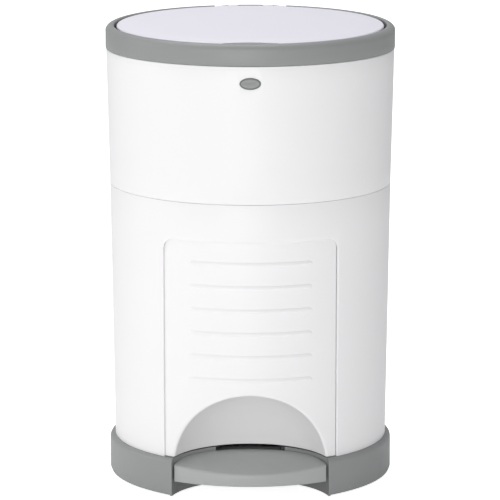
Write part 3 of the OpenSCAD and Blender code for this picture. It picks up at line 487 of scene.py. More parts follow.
def round_edges(piece, test, radius, steps):
    """Rounds the edges whose two ends pass a test."""
    only(piece)
    bpy.ops.object.mode_set(mode="EDIT")
    bpy.ops.mesh.select_mode(type="EDGE")
    bpy.ops.mesh.select_all(action="DESELECT")
    bpy.ops.object.mode_set(mode="OBJECT")
    points = piece.data.vertices
    for edge in piece.data.edges:
        edge.select = test(*(points[i].co for i in edge.vertices))
    bpy.ops.object.mode_set(mode="EDIT")
    bpy.ops.mesh.bevel(offset=radius, segments=steps, affect="EDGES")
    bpy.ops.object.mode_set(mode="OBJECT")


def arch(grow, near=-0.4, far=-0.06, foot=0.03):
    """A block with the door's outline, its two top corners rounded."""
    top = DOOR_TOP + grow
    piece = block((-DOOR_HALF - grow, near, foot), (DOOR_HALF + grow, far, top))
    round_edges(piece, lambda a, b: abs(a.y - b.y) > 0.1 and min(a.z, b.z) > top - 1e-5,
                DOOR_ROUND + grow, 14)
    return piece


def leaning(y, z):
    """A place beside the door, which leans inwards with the wall, in plain y."""
    return y - (z - DOOR_FOOT) * math.tan(HINGE_LEAN)


def jamb(side):
    """A wedge that slopes one side of the opening; the right one lets the door fold back."""
    root, slope = (0.00155, 0.0057) if side > 0 else (0.0004, 0.0029)
    top = DOOR_TOP - 0.009
    edge_x = DOOR_HALF + OPENING_GAP
    edge_y = -math.sqrt((wall_r(DOOR_FOOT) - DOOR_SUNK) ** 2 - edge_x ** 2)
    wedge = block((0, 0, 0), (1, 1, 1), "jamb")
    for point in wedge.data.vertices:
        outer, beyond, high = point.co.y < 0.5, point.co.x > 0.5, point.co.z > 0.5
        z = (top - (0.003 if outer and beyond else 0)) if high else DOOR_FOOT - 0.004
        x = edge_x + ((slope if outer else 0) if beyond else -JAMB_IN)
        point.co = (side * x, leaning(edge_y + (-JAMB_OUT if outer else root), z), z)
    weld(wedge)
    return wedge


lower = walling("lower_wall", SKIRT_TOP, SEAM_Z - SEAM_GAP)
cut(lower, arch(OPENING_GAP))
for side in (-1, 1):
    cut(lower, jamb(side))
lug_y = leaning(HINGE_Y, LUG_Z)
lug = drum(LUG_R, LUG_Z, LUG_TOP, (HINGE_X, lug_y), 32)
join_solid(lug, block((HINGE_X - LUG_R, lug_y - 0.012, LUG_Z), (HINGE_X + LUG_R, lug_y, LUG_TOP)))
cut(lug, drum(0.1573, 0.28, 0.31, steps=192), keep=True)
join_solid(lower, lug)
for x, y in round_about(LOW_SCREWS_R, SCREW_AT):
    join_solid(lower, boss(x, y, SKIRT_TOP, SKIRT_TOP + 0.018, 0.1553))
for x, y in round_about(SEAM_SCREWS_R, SCREW_AT):
    join_solid(lower, boss(x, y, 0.310, 0.326, 0.1589))
stop = walling("stop", 0.09, DOOR_TOP - 0.010)
for point in stop.data.vertices:
    inward = 1 - REST_SUNK / math.hypot(point.co.x, point.co.y)
    point.co.x *= inward
    point.co.y *= inward
cut(stop, block((REST_X, -0.3, 0.05), (REST_X + REST_WIDE, -0.09, 0.3)), keep=True)
join_solid(lower, stop)
soften(lower, 0.0005)
shell_white = plastic("shell_white", (0.87, 0.862, 0.862), (0.855, 0.847, 0.85),
                      0.44, 0.48, 0.000002, 260, 5.0)
fit(lower, "bin", "lower_shell", shell_white)


# ---- upper shell ----
# The upper wall, in the same gloss white, which widens to the ring. It has an oval
# hole for the button, a notch behind for the hinge and bosses that the shelf screws to.
BUTTON_Z, BUTTON_Y = 0.470, -0.16190


def oval_bar(half_x, half_z, near, far, steps=64, name="tool"):
    """A closed oval bar along Y at the button."""
    piece = lying(1, (0, near, 0), (0, far, 0), steps, name)
    piece.scale = (half_x, 1, half_z)
    piece.location = (0, 0, BUTTON_Z)
    return settle(piece)


upper = walling("upper_wall", SEAM_Z + SEAM_GAP, RING_Z - 0.0004)
cut(upper, oval_bar(0.0117, 0.0067, -0.2, -0.1))
cut(upper, block((-0.045, 0.05, 0.469), (0.045, 0.2, 0.6)))
for x, y in round_about(SEAM_SCREWS_R, (0, 90, 180, 270)):
    join_solid(upper, boss(x, y, 0.3425, 0.3585, 0.1585))
ledge = drum(0.1610, 0.482, 0.485, steps=192)
cut(ledge, drum(0.1556, 0.4, 0.6, steps=192))
cut(ledge, block((-0.023, -0.2, 0.4), (0.023, -0.06, 0.6)), keep=True)
join_solid(upper, ledge)
soften(upper, 0.0005)
fit(upper, "bin", "upper_shell", shell_white)


# ---- front door ----
# One gloss white moulding, set a little below the wall: a panel with six grip
# ridges and, over the pedal, a scooped hollow for the shoe with a soft rolled rim.
SCOOP_Y, SCOOP_Z, SCOOP_R = -0.159, 0.029, 0.0915
RIDGE_Z, RIDGE_STEP, RIDGES, RIDGE_END, RIDGE_FADE = 0.1375, 0.0262, 6, 0.0692, 0.007
RIDGE_ROOT, BOSS_R, BOSS_LONG = 0.0009, 0.0024, 0.014
HOLLOW, ROLL, PANEL = 26, 6, 24
ROLL_IN, ROLL_OUT, EDGE_R = 0.004, 0.0032, 0.0009


def face_y(x, z):
    """The door's face, and below it the hollow's, as depths at a place seen from the front."""
    return -math.sqrt((wall_r(z) - DOOR_SUNK) ** 2 - x * x)


def scoop_y(x, z):
    return SCOOP_Y + math.sqrt(max(SCOOP_R ** 2 - x * x - (z - SCOOP_Z) ** 2, 0))


def in_outline(x, z, inset):
    """Whether a place seen from the front is inside the door's outline."""
    w, top, r = DOOR_HALF - inset, DOOR_TOP - inset, DOOR_ROUND - inset
    if abs(x) > w or z > top:
        return False
    across, up = abs(x) - (w - r), z - (top - r)
    return across <= 0 or up <= 0 or math.hypot(across, up) <= r


def reach(test, angle, start, end):
    """How far a test holds along a ray that leaves the middle of the door's foot."""
    for _ in range(40):
        middle = (start + end) / 2
        if test(middle * math.cos(angle), DOOR_FOOT + middle * math.sin(angle)):
            start = middle
        else:
            end = middle
    return start


corner_low = math.degrees(math.atan2(DOOR_TOP - DOOR_ROUND - DOOR_FOOT, DOOR_HALF))
corner_high = math.degrees(math.atan2(DOOR_TOP - DOOR_FOOT, DOOR_HALF - DOOR_ROUND))
half = [corner_low * i / 56 for i in range(56)]
half += [corner_low + (corner_high - corner_low) * i / 12 for i in range(13)]
half += [corner_high + (90 - corner_high) * i / 14 for i in range(1, 15)]
rays = [math.radians(a) for a in half] + [math.radians(180 - a) for a in half[-2::-1]]
bare()
rows = HOLLOW + ROLL + PANEL + 5
bpy.ops.mesh.primitive_grid_add(x_subdivisions=len(rays) - 1, y_subdivisions=rows - 1, size=1)
door = bpy.context.object
door.name = "door_panel"
for column, angle in enumerate(rays):
    cos, sin = math.cos(angle), math.sin(angle)

    def spot_at(far, depth):
        x, z = far * cos, DOOR_FOOT + far * sin
        return x, depth(x, z), z

    rim = reach(lambda x, z: scoop_y(x, z) > face_y(x, z), angle, 0.02, 0.12)
    edge = reach(lambda x, z: in_outline(x, z, 0), angle, 0.09, 0.4)
    inset = reach(lambda x, z: in_outline(x, z, EDGE_R), angle, 0.08, 0.4)
    half_inset = reach(lambda x, z: in_outline(x, z, EDGE_R * 0.3), angle, 0.08, 0.4)
    lip = rim * 0.9995
    while math.dist(spot_at(lip, scoop_y), spot_at(rim, face_y)) < ROLL_IN:
        lip -= 0.00004
    points = [spot_at(lip * math.sin(math.pi / 2 * i / HOLLOW), scoop_y) for i in range(HOLLOW)]
    a, b, c = spot_at(lip, scoop_y), spot_at(rim, face_y), spot_at(rim + ROLL_OUT, face_y)
    for i in range(ROLL):
        t = i / ROLL
        points.append([(1 - t) ** 2 * p + 2 * t * (1 - t) * q + t * t * s
                       for p, q, s in zip(a, b, c)])
    start = rim + ROLL_OUT
    points += [spot_at(start + (inset - start) * i / PANEL, face_y) for i in range(PANEL + 1)]
    for far, back in ((half_inset, EDGE_R * 0.3), (edge, EDGE_R), (edge, 0.0018), (edge, 0.0027)):
        x, y, z = spot_at(far, face_y)
        points.append((x, y + back, z))
    for row, place in enumerate(points):
        door.data.vertices[row * len(rays) + column].co = place
weld(door, 1e-5)
apply(door, "SOLIDIFY", thickness=0.0024, offset=-1, use_even_offset=True, use_rim=True)


def ridge(z):
    """One grip ridge: a slope that faces up, a short underside, and ends that fade."""
    r = wall_r(z) - DOOR_SUNK
    bar = turned("ridge", [(r - RIDGE_ROOT, z + 0.0038), (r + 0.0001, z + 0.0030),
                           (r + 0.0009, z + 0.0014), (r + 0.0014, z - 0.0002),
                           (r + 0.0013, z - 0.0010), (r + 0.0006, z - 0.0016),
                           (r - RIDGE_ROOT, z - 0.0018)], 480)
    cut(bar, block((-RIDGE_END, -0.2, 0), (RIDGE_END, -0.05, 0.4)), keep=True)
    for point in bar.data.vertices:
        t = (abs(point.co.x) - RIDGE_END + RIDGE_FADE) / RIDGE_FADE
        if t > 0:
            fade = math.sqrt(max(1 - min(t, 1) ** 2, 0))
            out = math.hypot(point.co.x, point.co.y)
            now = r - RIDGE_ROOT + (out - r + RIDGE_ROOT) * (0.3 + 0.7 * fade)
            point.co.x *= now / out
            point.co.y *= now / out
            point.co.z = z + (point.co.z - z) * (0.35 + 0.65 * fade)
    return bar


hinge_bosses = [drum(BOSS_R, low, low + BOSS_LONG,
                     (HINGE_X, leaning(HINGE_Y, low + BOSS_LONG / 2)), 32)
                for low in (DOOR_FOOT + 0.0001, 0.2733)]
door = gather("door_panel", [door] + [ridge(RIDGE_Z + i * RIDGE_STEP) for i in range(RIDGES)]
              + hinge_bosses)
fit(door, "front_door", "door", shell_white, 50)


# ---- top ring ----
# The collar's ring, of the base's textured grey: a hollow moulding with a broad
# rounded crown that slopes a little to the front, and a gap for the lid's hinge.
RING_R, RING_IN, RIM_Z, RIM_TILT = 0.163, 0.1535, 0.5155, math.radians(0.8)


def rim_tilt(piece, low, high):
    """Slopes the upper part of a turned piece forwards, more and more between two heights."""
    only(piece)
    for point in piece.data.vertices:
        share = min(max((point.co.z - low) / (high - low), 0), 1)
        point.co.z += share * point.co.y * math.tan(RIM_TILT)


ring = turned("collar_ring", (
    [(RING_R - 0.0007, 0.4890), (RING_R - 0.0002, 0.4892), (RING_R, 0.4897), (RING_R, 0.4985),
     (RING_R, 0.5060), (RING_R, 0.50984)]
    + arc(0.1556, 0.5068, 0.008, 30, 90, 9)
    + [(0.1546, 0.51465), (0.1539, 0.5143), (0.1536, 0.5138), (RING_IN, 0.5130), (RING_IN, 0.504),
       (RING_IN, 0.489), (0.1555, 0.489), (0.1555, 0.5066), (0.1575, 0.5066), (0.160, 0.5036),
       (0.160, 0.489)]), 256)
rim_tilt(ring, 0.500, 0.5098)
cut(ring, block((-0.0415, 0.1, 0.488), (0.0415, 0.1556, 0.6)))
fit(ring, "collar", "top_ring", trim_grey, 42)


# ---- lid ----
# A gloss white dome with a rolled edge, a finger notch in front and three hinge
# knuckles behind. Under it are a plain pan, the lever that lifts it and a rubber seal.
LID_R, LID_RISE, LID_SUNK, LID_ROLL = 0.1505, 0.0045, 0.0010, 0.0022
DOME_R, UNDER_R, FLAT_R = LID_R - 0.003, LID_R - 0.005, 0.130


def dome(r, reach):
    """Height of the dome at a radius; its outermost part turns down a little more."""
    turned_down = LID_SUNK * (max(r - FLAT_R, 0) / (reach - FLAT_R)) ** 2
    return LID_RISE * (1 - (r / reach) ** 2) - turned_down


def closed_ends(piece):
    """Open ends filled and faces turned outwards."""
    only(piece)
    bpy.ops.object.mode_set(mode="EDIT")
    bpy.ops.mesh.select_all(action="SELECT")
    bpy.ops.mesh.fill_holes(sides=0)
    bpy.ops.mesh.normals_make_consistent(inside=False)
    bpy.ops.object.mode_set(mode="OBJECT")


def on_rim(piece):
    """Takes a piece from the rim's own plane to its place."""
    piece.location = (0, 0, RIM_Z)
    piece.rotation_euler = (RIM_TILT, 0, 0)
    return settle(piece)


lid = turned("lid_dome", (
    [(UNDER_R * i / 24, dome(UNDER_R * i / 24, UNDER_R) - 0.0024) for i in range(1, 25)]
    + arc(LID_R - LID_ROLL, -LID_ROLL - LID_SUNK, LID_ROLL, -90, 90, 12)
    + [(DOME_R * i / 24, dome(DOME_R * i / 24, DOME_R)) for i in range(24, -1, -1)]), 256, False)
closed_ends(lid)
on_rim(lid)
KNUCKLE_Y, KNUCKLE_R, PIN_HOLE_R = 0.150, 0.0036, 0.00186
NOTCH_R, NOTCH_Y = 0.1937, -0.3377
KNUCKLE_Z = RIM_Z + KNUCKLE_Y * math.tan(RIM_TILT) - 0.0046
for start, end in ((-0.014, 0.014), (-0.040, -0.027), (0.027, 0.040)):
    knuckle = lying(KNUCKLE_R, (start, KNUCKLE_Y, KNUCKLE_Z), (end, KNUCKLE_Y, KNUCKLE_Z))
    round_edges(knuckle, lambda a, b: abs(a.x - b.x) < 1e-6, 0.0004, 2)
    join_solid(lid, knuckle)
for side in (-1, 1):
    cut(lid, lying(KNUCKLE_R + 0.0005, (side * 0.01401, KNUCKLE_Y, KNUCKLE_Z),
                   (side * 0.02699, KNUCKLE_Y, KNUCKLE_Z)))
cut(lid, lying(PIN_HOLE_R, (-0.05, KNUCKLE_Y, KNUCKLE_Z), (0.05, KNUCKLE_Y, KNUCKLE_Z), 32))
cut(lid, drum(NOTCH_R, 0.49, 0.54, (0, NOTCH_Y), 512))
soften(lid, 0.0005, 3, 50)
lid_gloss = plastic("lid_gloss", (0.865, 0.845, 0.92), (0.85, 0.83, 0.905),
                    0.36, 0.4, 0.0000005, 120, 5.0)
fit(lid, "lid", "lid_cover", lid_gloss, 42)


SECTOR_LINES = (12, 57, 102, 147)


def refined(name, node, width):
    """A copy of a CAD moulding, its flats joined into sectors and its sharp edges rounded."""
    bare()
    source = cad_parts[node]
    piece = bpy.data.objects.new(name, source.data.copy())
    scene.collection.objects.link(piece)
    weld(piece, 2e-5, turn=False)
    bpy.ops.object.mode_set(mode="EDIT")
    bpy.ops.mesh.customdata_custom_splitnormals_clear()
    for turn in SECTOR_LINES:
        across = (math.cos(math.radians(turn)), math.sin(math.radians(turn)), 0)
        bpy.ops.mesh.select_all(action="SELECT")
        bpy.ops.mesh.bisect(plane_co=(0, 0, 0), plane_no=across)
        bpy.ops.mesh.mark_seam()
    bpy.ops.mesh.select_all(action="SELECT")
    bpy.ops.mesh.dissolve_limited(angle_limit=math.radians(0.6), delimit={"SEAM"})
    bpy.ops.mesh.mark_seam(clear=True)
    bpy.ops.object.mode_set(mode="OBJECT")
    apply(piece, "BEVEL", width=width, segments=2, limit_method="ANGLE",
          angle_limit=math.radians(35), use_clamp_overlap=True)
    return piece


inner_white = plastic("inner_white", (0.78, 0.78, 0.77), (0.74, 0.74, 0.73),
                      0.42, 0.52, 0.00005, 800)
inner_grey = plastic("inner_grey", (0.40, 0.41, 0.42), (0.36, 0.37, 0.38),
                     0.46, 0.56, 0.00006, 1000)
fit(refined("lid_pan_plate", "lid_pan", 0.0003), "lid", "lid_pan", inner_white)
fit(refined("lid_lever", "lid_arm", 0.0004), "lid", "lid_arm", inner_grey)
seal = turned("lid_seal_ring", [
    (0.1152, -0.00455), (0.1198, -0.00455), (0.1199, -0.0060), (0.1194, -0.0076), (0.1185, -0.0084),
    (0.1177, -0.00868), (0.1170, -0.0084), (0.1162, -0.0074), (0.1153, -0.0062)])
fit(on_rim(seal), "lid", "lid_seal", rubber)


# ---- hopper and traps ----
# Inside the collar: the deck and funnel in white polypropylene, the frame that
# screws under its throat and two trap flaps that drop apart when the rod rises.
fit(refined("hopper_funnel", "hopper", 0.0004), "collar", "hopper", inner_white)
fit(refined("trap_bearing_frame", "trap_frame", 0.0004), "collar", "trap_frame",
    inner_white)
for side in ("left", "right"):
    fit(refined(f"flap_{side}", f"trap_flap_{side}", 0.0004), f"trap_{side}",
        f"trap_flap_{side}", inner_white)
fit(refined("latch_spring_tongue", "latch_tongue", 0.0003), "collar", "latch_tongue",
    inner_grey)


# ---- pedal ----
# The foot pad that fills the niche: a hollow crowned moulding with a rounded front edge,
# screwed to the end of a long nylon lever. Its grey is painted paler than the trim's, standing in
# for light that the shaded niche keeps off it.
PAD_FRONT_R, PAD_REAR_R, PAD_FOOT, PAD_WALL, PAD_ROUND = 0.158, 0.089, 0.0185, 0.003, 0.0026
CROWN_R, CROWN_Y, CROWN_Z = 0.280, -0.092, -0.240
PAD_COLUMNS, PAD_ROUND_ROWS, PAD_ROWS = 128, 8, 40


def pad_top(y):
    """Height of the crowned top, which only changes from front to rear."""
    return CROWN_Z + math.sqrt(CROWN_R ** 2 - (y - CROWN_Y) ** 2)


def lens(grow, low):
    """The pad's plan between two arcs, cut off by its crowned top."""
    piece = drum(PAD_FRONT_R - grow, low, 0.07, steps=256, name="pedal_hollow")
    cut(piece, drum(PAD_REAR_R - grow, -0.02, 0.09, (0, NICHE_Y), 256), keep=True)
    crown = lying(CROWN_R - grow, (-0.2, CROWN_Y, CROWN_Z), (0.2, CROWN_Y, CROWN_Z), 1440)
    cut(piece, crown, keep=True)
    return piece


corner_y = (PAD_FRONT_R ** 2 - PAD_REAR_R ** 2 + NICHE_Y ** 2) / (2 * NICHE_Y)
pad_half = math.sqrt(PAD_FRONT_R ** 2 - corner_y ** 2) - 0.0005
bare()
bpy.ops.mesh.primitive_grid_add(x_subdivisions=PAD_COLUMNS, y_subdivisions=PAD_ROWS, size=1)
pad = bpy.context.object
pad.name = "pedal_moulding"
for column in range(PAD_COLUMNS + 1):
    x = pad_half * math.sin(math.pi / 2 * (2 * column / PAD_COLUMNS - 1))
    front_y = -math.sqrt(PAD_FRONT_R ** 2 - x * x)
    rear_y = NICHE_Y + math.sqrt(PAD_REAR_R ** 2 - x * x)
    radius = min(PAD_ROUND, 0.4 * (rear_y - front_y))
    for row in range(PAD_ROWS + 1):
        turn = math.pi / 2 * min(row / PAD_ROUND_ROWS, 1)
        inward = 1 - radius * (1 - math.cos(turn)) / PAD_FRONT_R
        share = max(row - PAD_ROUND_ROWS, 0) / (PAD_ROWS - PAD_ROUND_ROWS)
        across = x * inward * (1 - share) + x * share
        along = front_y * inward * (1 - share) + rear_y * share
        pad.data.vertices[row * (PAD_COLUMNS + 1) + column].co = (
            across, along, pad_top(along) - radius * (1 - math.sin(turn)))
pad_tops = len(pad.data.vertices)
bpy.ops.object.mode_set(mode="EDIT")
bpy.ops.mesh.select_all(action="SELECT")
bpy.ops.mesh.region_to_loop()
bpy.ops.mesh.extrude_region_move(TRANSFORM_OT_translate={"value": (0, 0, -0.01)})
bpy.ops.object.mode_set(mode="OBJECT")
for point in pad.data.vertices[pad_tops:]:
    point.co.z = PAD_FOOT
closed_ends(pad)
cut(pad, lens(PAD_WALL, PAD_FOOT - 0.01))
soften(pad, 0.0005, 2, 50)
# Painted light: the pad's grey is made paler than the trim grey so that its shaded top reads as
# bright as a lit one.
pedal_grey_painted_lighter = plastic("pedal_grey_painted_lighter", (0.40, 0.41, 0.405), (0.38, 0.39, 0.386),
                     0.38, 0.46, 0.00003, 1300, 8.0)
fit(pad, "pedal", "pedal_pad", pedal_grey_painted_lighter, 40)
fit(refined("pedal_beam", "pedal_lever", 0.0006), "pedal", "pedal_lever", inner_grey)


# ---- lift rod ----
# The nylon rod that stands on the pedal's tail behind the refill, with the yoke
# clamped round it that lifts the trap shafts' heels.
fit(refined("lift_rod_bar", "push_rod", 0.0005), "lift_rod", "push_rod", inner_grey)
fit(refined("lift_yoke", "trap_yoke", 0.0005), "lift_rod", "trap_yoke", inner_grey)


# ---- release button ----
# A small oval grey button in a darker oval bezel, with a domed face and a stem; it
# frees the collar's latch. A conical spring of steel wire sits round the stem.
BEZEL_BACK, POCKET, FLANGE = 0.0060, 0.0039, 0.0015
BEZEL_X, BEZEL_H, BUTTON_X, BUTTON_H = 0.0115, 0.0065, 0.0103, 0.0053
BUTTON_PROUD, BUTTON_ROUND, STEM_R, STEM_LONG = 0.0009, 0.0006, 0.003, 0.0090
SPRING_Y, SPRING_LONG = BUTTON_Y + 0.0005, 0.0029
bezel = oval_bar(BEZEL_X, BEZEL_H, BUTTON_Y - 0.0004, BUTTON_Y + BEZEL_BACK, 96,
                 "button_surround")
join_solid(bezel, oval_bar(BEZEL_X + FLANGE, BEZEL_H + FLANGE, BUTTON_Y + 0.0040,
                           BUTTON_Y + BEZEL_BACK, 96))
cut(bezel, oval_bar(BUTTON_X + 0.0003, BUTTON_H + 0.0003, BUTTON_Y - 0.01,
                    BUTTON_Y + POCKET, 96))
cut(bezel, lying(STEM_R + 0.0004, (0, BUTTON_Y - 0.01, BUTTON_Z),
                 (0, BUTTON_Y + 0.02, BUTTON_Z)))
soften(bezel, 0.0003, 2, 40)
bezel_dark = plastic("bezel_dark", (0.25, 0.253, 0.255), (0.23, 0.233, 0.235),
                     0.4, 0.5, 0.00005, 1200)
fit(bezel, "bin", "button_bezel", bezel_dark)
front = BUTTON_Y - BUTTON_PROUD
button = oval_bar(BUTTON_X, BUTTON_H, front, BUTTON_Y + 0.0003, 96, "oval_button")
round_edges(button, lambda a, b: max(a.y, b.y) < front + 1e-5, BUTTON_ROUND, 3)
only(button)
bpy.ops.object.mode_set(mode="EDIT")
bpy.ops.mesh.select_mode(type="FACE")
bpy.ops.mesh.select_all(action="DESELECT")
bpy.ops.object.mode_set(mode="OBJECT")
for face in button.data.polygons:
    face.select = face.normal.y < -0.99 and len(face.vertices) > 20
bpy.ops.object.mode_set(mode="EDIT")
for inset, out in ((0.0014, 0.00010), (0.0015, 0.00007)):
    bpy.ops.mesh.inset(thickness=inset)
    bpy.ops.transform.translate(value=(0, out, 0))
bpy.ops.object.mode_set(mode="OBJECT")
join_solid(button, lying(STEM_R, (0, BUTTON_Y, BUTTON_Z), (0, BUTTON_Y + STEM_LONG, BUTTON_Z)))
fit(button, "button", "button_cap", trim_grey)


def coil(name, wire, radius, rise, turns, steps=28, grow=0.0):
    """A helix of wire about the Z axis, from z = 0, closed at both ends."""
    bare()
    bpy.ops.mesh.primitive_circle_add(vertices=10, radius=wire, location=(radius, 0, 0),
                                      rotation=(math.pi / 2, 0, 0))
    piece = bpy.context.object
    piece.name = name
    settle(piece)
    apply(piece, "SCREW", axis="Z", angle=math.tau, screw_offset=rise / turns,
          iterations=turns, steps=steps, render_steps=steps, use_merge_vertices=False)
    weld(piece)
    closed_ends(piece)
    for point in piece.data.vertices:
        flare = 1 + grow * point.co.z / rise
        point.co.x *= flare
        point.co.y *= flare
    return piece


spring = coil("button_cone_spring", 0.00018, 0.0036, SPRING_LONG, 3, grow=0.14)
spring.rotation_euler = (-math.pi / 2, 0, 0)
spring.location = (0, SPRING_Y, BUTTON_Z)
settle(spring)
drawn, d_in, d_out = new_group(
    "drawn_lines", [("Across", 1600.0), ("Along", 40.0)], ["Lines", "Blotch"])
spot = chain(drawn, "ShaderNodeTexCoord")
stretch = chain(drawn, "ShaderNodeVectorMath", operation="MULTIPLY")
scale_xyz = chain(drawn, "ShaderNodeCombineXYZ")
lines = chain(drawn, "ShaderNodeTexNoise")
lines.inputs["Scale"].default_value = 1
lines.inputs["Detail"].default_value = 4
blotch = chain(drawn, "ShaderNodeTexNoise")
blotch.inputs["Scale"].default_value = 130
drawn.links.new(d_in.outputs["Along"], scale_xyz.inputs["X"])
drawn.links.new(d_in.outputs["Across"], scale_xyz.inputs["Y"])
drawn.links.new(d_in.outputs["Across"], scale_xyz.inputs["Z"])
drawn.links.new(spot.outputs["Object"], stretch.inputs[0])
drawn.links.new(scale_xyz.outputs[0], stretch.inputs[1])
drawn.links.new(stretch.outputs[0], lines.inputs["Vector"])
drawn.links.new(spot.outputs["Object"], blotch.inputs["Vector"])
drawn.links.new(lines.outputs["Fac"], d_out.inputs["Lines"])
drawn.links.new(blotch.outputs["Fac"], d_out.inputs["Blotch"])


def metal(name, light, dark, gloss, coarse, across=1600.0, along=40.0):
    """A bare metal: two close tones, a roughness range and the lines of its drawing."""
    material = bpy.data.materials.new(name)
    material.use_nodes = True
    tree = material.node_tree
    skin = tree.nodes["Principled BSDF"]
    skin.inputs["Metallic"].default_value = 1
    marks = chain(tree, "ShaderNodeGroup", node_tree=drawn)
    marks.inputs["Across"].default_value = across
    marks.inputs["Along"].default_value = along
    tint = chain(tree, "ShaderNodeMix", data_type="RGBA")
    tint.inputs["A"].default_value = (*dark, 1)
    tint.inputs["B"].default_value = (*light, 1)
    rough = chain(tree, "ShaderNodeMapRange")
    rough.inputs["To Min"].default_value = gloss
    rough.inputs["To Max"].default_value = coarse
    bump = chain(tree, "ShaderNodeBump")
    bump.inputs["Distance"].default_value = 0.00002
    tree.links.new(marks.outputs["Blotch"], tint.inputs["Factor"])
    tree.links.new(tint.outputs["Result"], skin.inputs["Base Color"])
    tree.links.new(marks.outputs["Lines"], rough.inputs["Value"])
    tree.links.new(rough.outputs[0], skin.inputs["Roughness"])
    tree.links.new(marks.outputs["Lines"], bump.inputs["Height"])
    tree.links.new(bump.outputs["Normal"], skin.inputs["Normal"])
    return material


steel = metal("drawn_steel", (0.66, 0.67, 0.69), (0.56, 0.57, 0.59), 0.2, 0.36)
fit(spring, "button", "button_spring", steel)
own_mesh(spring)


# ---- trap springs and shafts ----
# Each flap turns on a drawn steel shaft. A spring coiled round the shaft's rear end
# shuts it, and a strip of soft rubber seals its straight edge.
TRAP_X, TRAP_Z, TWIST_Y = 0.060, 0.402, 0.0563
coils = []
for side in (-1, 1):
    twist = coil("twist", 0.00042, 0.00345, 0.0082, 5)
    twist.rotation_euler = (-math.pi / 2, 0, 0)
    twist.location = (side * TRAP_X, TWIST_Y, TRAP_Z)
    coils.append(settle(twist))
fit(gather("trap_twist_springs", coils), "collar", "trap_springs", steel)
for side in ("left", "right"):
    dress(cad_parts[f"trap_shaft_{side}"], steel)
    dress(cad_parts[f"trap_seal_{side}"], rubber)


# ---- screws ----
# Pan-head screws of zinc-plated steel with cross recesses, driven into the bosses
# and towers. Each group stands where its own holes are.
PAN_R, PAN_HIGH, SHANK_R, SLOT_LONG, SLOT_HALF = 0.00285, 0.002, 0.0015, 0.0019, 0.0003
zinc = metal("zinc_plate", (0.50, 0.50, 0.49), (0.38, 0.385, 0.38), 0.3, 0.5, 600.0, 600.0)


def screw_at(seat, up, length):
    """A pan-head screw on its seat, its head along a direction."""
    head = turned("screw", [(SHANK_R, -length), (SHANK_R, -0.0001), (PAN_R, 0.0), (PAN_R, 0.0007),
                            (0.0026, 0.0013), (0.0020, 0.0018), (0.0010, 0.00199), (0, PAN_HIGH)],
                  28, False)
    closed_ends(head)
    for long, wide in ((SLOT_LONG, SLOT_HALF), (SLOT_HALF, SLOT_LONG)):
        cut(head, block((-long, -wide, 0.0009), (long, wide, 0.003)))
    head.rotation_euler = up
    head.location = seat
    smooth(settle(head), 35)
    return head


def screws_of(name, node, body, turn=None):
    """One screw for each solid of a CAD node, where that solid is."""
    bare()
    stand_in = bpy.data.objects.new("screws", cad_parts[node].data.copy())
    scene.collection.objects.link(stand_in)
    weld(stand_in, 1e-5, turn=False)
    bpy.ops.mesh.separate(type="LOOSE")
    made = []
    for solid in list(bpy.context.selected_objects):
        low = [min(p.co[i] for p in solid.data.vertices) for i in range(3)]
        high = [max(p.co[i] for p in solid.data.vertices) for i in range(3)]
        middle = [(a + b) / 2 for a, b in zip(low, high)]
        axis = 1 if turn else 2
        across = [i for i in range(3) if i != axis]
        ends = [[p.co for p in solid.data.vertices if p.co[axis] * s > e * s - 0.0004]
                for s, e in ((1, high[axis]), (-1, low[axis]))]
        spread = [max(math.hypot(*(p[i] - middle[i] for i in across)) for p in end) for end in ends]
        head_up = spread[0] > spread[1]
        seat = list(middle)
        seat[axis] = high[axis] - PAN_HIGH if head_up else low[axis] + PAN_HIGH
        angle = (turn if head_up else -turn) if turn else (0 if head_up else math.pi)
        made.append(screw_at(seat, (angle, 0, 0), high[axis] - low[axis] - PAN_HIGH))
        bpy.data.objects.remove(solid)
    group = gather(name, made)
    dress(group, zinc)
    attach(group, body)
    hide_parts(node)


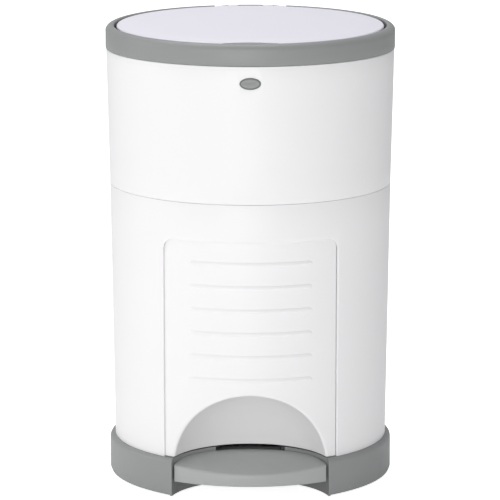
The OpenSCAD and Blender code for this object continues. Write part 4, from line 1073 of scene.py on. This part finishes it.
for name, node, body in (
        ("shell_fixings", "shell_screws", "bin"), ("shelf_fixings", "shelf_screws", "bin"),
        ("cover_fixings", "cover_screws", "bin"), ("pedal_fixings", "pedal_screws", "pedal"),
        ("frame_fixings", "frame_screws", "collar"), ("lid_fixings", "lid_screws", "lid")):
    screws_of(name, node, body)
screws_of("bracket_fixings", "bracket_screws", "bin", -math.pi / 2)


# ---- refill, shelf and covers ----
# A shelf ring screwed between the shells holds the blue refill tray with its
# pleated pack of film and the film cutter. Below are the pedal works' cover, the
# channel round the rod and the collar's hinge bracket.
PLEATS, PLEAT_HIGH, PLEAT_DEEP, PACK_Z = 25, 0.00123, 0.0017, 0.3444


def pleats(radius, side, wave):
    """One wall of the folded film, with its pleats a little uneven."""
    return [(radius + side * PLEAT_DEEP * (i % 2) + 0.0002 * math.sin(i * wave),
             PACK_Z + PLEAT_HIGH * i) for i in range(PLEATS)]


pack = turned("pleated_film", pleats(0.1036, 1, 2.3) + [(0.0958, 0.3752)]
              + pleats(0.0900, -1, 1.7)[::-1], 160)
film_white = plastic("film_white", (0.80, 0.81, 0.86), (0.70, 0.72, 0.79),
                     0.22, 0.4, 0.0005, 160, 60.0, 0.1)
fit(pack, "bin", "film_pack", film_white, 25)
tray_blue = plastic("tray_blue", (0.21, 0.43, 0.62), (0.19, 0.40, 0.58),
                    0.38, 0.48, 0.00005, 900)
for name, node, slot, finish in (
        ("refill_dish", "refill_tray", "refill_blue", tray_blue),
        ("shelf_moulding", "shelf_ring", "inner_white", inner_white),
        ("works_cover", "mech_cover", "inner_white", inner_white),
        ("rod_duct", "rod_channel", "inner_white", inner_white),
        ("cutter_housing", "cutter_body", "inner_grey", inner_grey),
        ("hinge_block", "hinge_bracket", "inner_grey", inner_grey)):
    fit(refined(name, node, 0.0004), "bin", node, finish)
fit(refined("door_latch", "door_catch", 0.0003), "front_door", "door_catch",
    inner_white)
for node in ("cutter_blade", "collar_hinge_pin", "pedal_axle", "door_pins", "lid_hinge_pin"):
    dress(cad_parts[node], steel)
